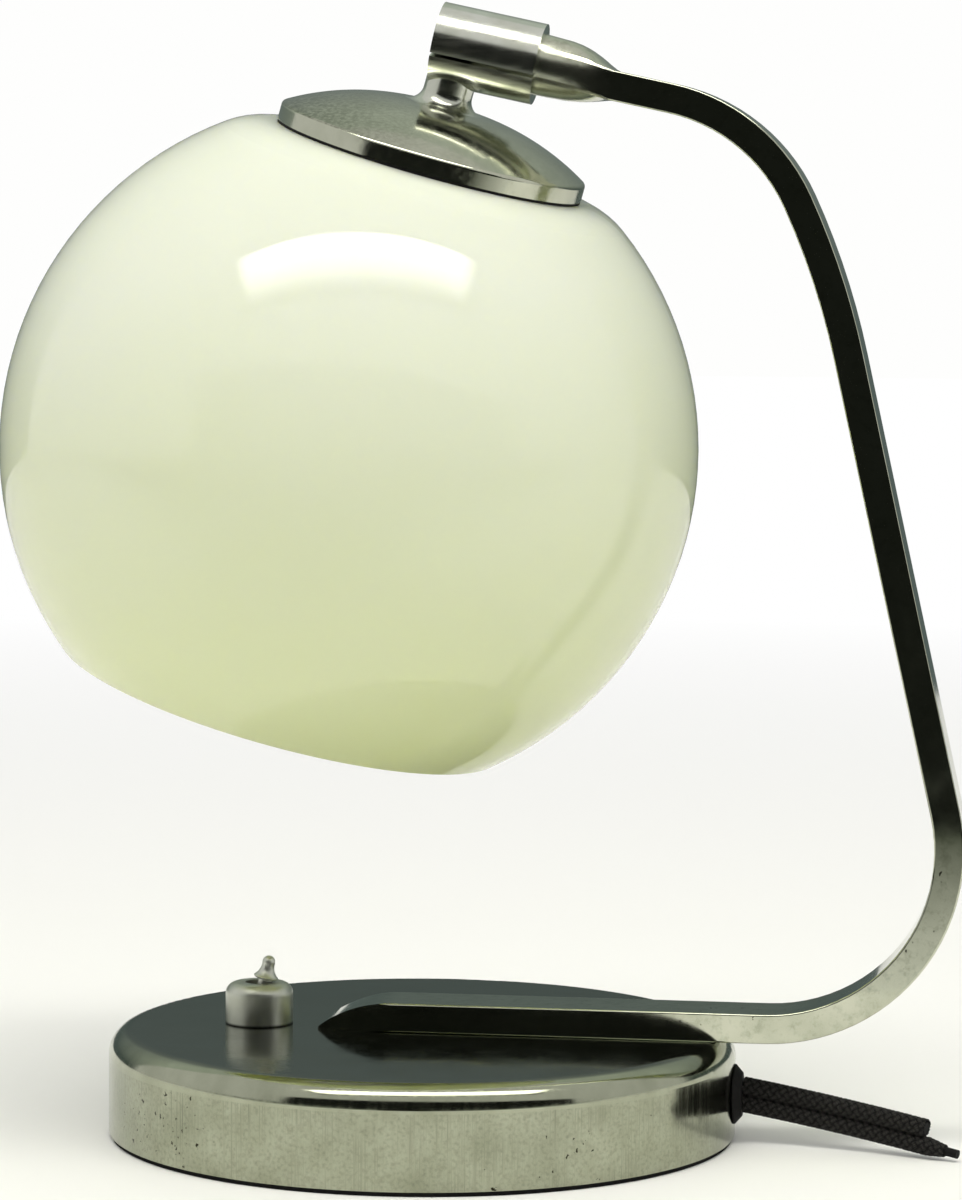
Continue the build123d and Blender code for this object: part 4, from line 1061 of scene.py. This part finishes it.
# %% [markdown]
# ## The dark room and the dim wall
# These are cards that only reflections see, so they shape the metal without shading the table: the
# dark room's floor and front, the table's front edge in that room's shade, and the grey wall.

# %% Dark room and dim wall
TABLE_FRONT = -0.5
TABLE_SHADED_TO = -0.2
ROOM_FRONT = (-2.0, 4.5, -2.2, 1.4)  # x from, x to, y, height
WALL_BACK = (-2.2, 2.2, 1.2, 2.4)
WALL_FADE_Z = (0.16, 1.3)


def floor_card(name, y0, y1, material):
    corners = [(-TABLE_R, y0), (TABLE_R, y0), (TABLE_R, y1), (-TABLE_R, y1)]
    return card(name, [(x, y, CARD_LIFT) for x, y in corners], material)


def wall_card(name, x0, x1, y, z1, material):
    return card(name, [(x0, y, 0), (x1, y, 0), (x1, y, z1), (x0, y, z1)], material)


DARK = glow("room_dark", "#1E201D")
WALL = glow("wall_dim", "#57625F", "#C2CAC0", "Z", *WALL_FADE_Z)
SHADED = glow("table_shaded", "#5C6156", "#F4F5EE", "Y", TABLE_FRONT, TABLE_SHADED_TO)
seen_only_by(floor_card("room_floor", -TABLE_R, TABLE_FRONT, DARK), False, True)
seen_only_by(floor_card("table_front", TABLE_FRONT, TABLE_SHADED_TO, SHADED), False, True)
seen_only_by(wall_card("room_front", *ROOM_FRONT, DARK), False, True)
seen_only_by(wall_card("wall_back", *WALL_BACK, WALL), False, True)
print("dark room in front of y =", TABLE_FRONT, "m, wall at y =", WALL_BACK[2], "m")

# %% [markdown]
# ## The white screen and the sky
# The photograph's ground is white, so a white screen that only the camera sees stands round the table.
# The light from the left and right is the world's own even glow.

# %% Screen and sky
SCREEN_H = 4.0
SCREEN_R = TABLE_R - 0.01
SKY_GLOW = 0.8

rims = [(SCREEN_R * cos(a), SCREEN_R * sin(a), z) for z in (0, SCREEN_H) for a in ROUND]
seen_only_by(card("white_screen", rims, glow("screen_white", "#FEFEFD"), PANELS), True, False)

world = bpy.data.worlds.new("studio")
world.use_nodes = True
sky = world.node_tree.nodes["Background"]
sky.inputs["Color"].default_value = linear("#F6F6F4")
sky.inputs["Strength"].default_value = SKY_GLOW
bpy.context.scene.world = world
print("screen", SCREEN_H, "m high, sky glow", SKY_GLOW)

# %% [markdown]
# ## The soft light
# The one lamp of the room is a strip of cloth with a bulb behind it. The glass ball shows it as a white
# bar whose upper edge is crisp and whose lower edge melts away, because the cloth is brightest at one
# long side. So the light is a card whose glow fades towards the other long side and towards its ends.

# %% Soft light
LIGHT_W = 1.66
LIGHT_D = 0.5
LIGHT_GLOW = 8.5
LIGHT_FULL_Y = 0.1
LIGHT_FULL_X = 0.664
LIGHT_AT = Vector((0.11, -0.53, 1.27))
LIGHT_TARGET = Vector((0.0, 0.0, 0.15))

cloth, tree, shader = new_material(
    "softbox_cloth", Base_Color=linear("#000000"), Roughness=1.0, Emission_Color=linear("#FFFDF6")
)
place = add(tree, "ShaderNodeSeparateXYZ", {0: add(tree, "ShaderNodeTexCoord").outputs["Object"]})
across = add(
    tree, "ShaderNodeMapRange",
    {
        "Value": place.outputs["Y"], "From Min": -LIGHT_D / 2, "From Max": LIGHT_FULL_Y,
        "To Min": 0.0, "To Max": LIGHT_GLOW,
    },
    interpolation_type="SMOOTHSTEP",
)
from_middle = add(tree, "ShaderNodeMath", {0: place.outputs["X"]}, operation="ABSOLUTE")
ends = add(
    tree, "ShaderNodeMapRange",
    {
        "Value": from_middle.outputs[0], "From Min": LIGHT_W / 2, "From Max": LIGHT_FULL_X,
        "To Min": 0.0, "To Max": 1.0,
    },
    interpolation_type="SMOOTHSTEP",
)
strength = add(
    tree, "ShaderNodeMath", {0: across.outputs[0], 1: ends.outputs[0]}, operation="MULTIPLY"
)
tree.links.new(strength.outputs[0], shader.inputs["Emission Strength"])
quarters = ((-0.5, -0.5), (0.5, -0.5), (0.5, 0.5), (-0.5, 0.5))
softbox = card("softbox", [(x * LIGHT_W, y * LIGHT_D, 0) for x, y in quarters], cloth)
softbox.location = LIGHT_AT
softbox.rotation_euler = (LIGHT_TARGET - LIGHT_AT).to_track_quat("-Z", "Y").to_euler()
softbox.visible_camera = False
bpy.context.scene.view_settings.view_transform = "Standard"
print("soft light", LIGHT_W, "by", LIGHT_D, "m")
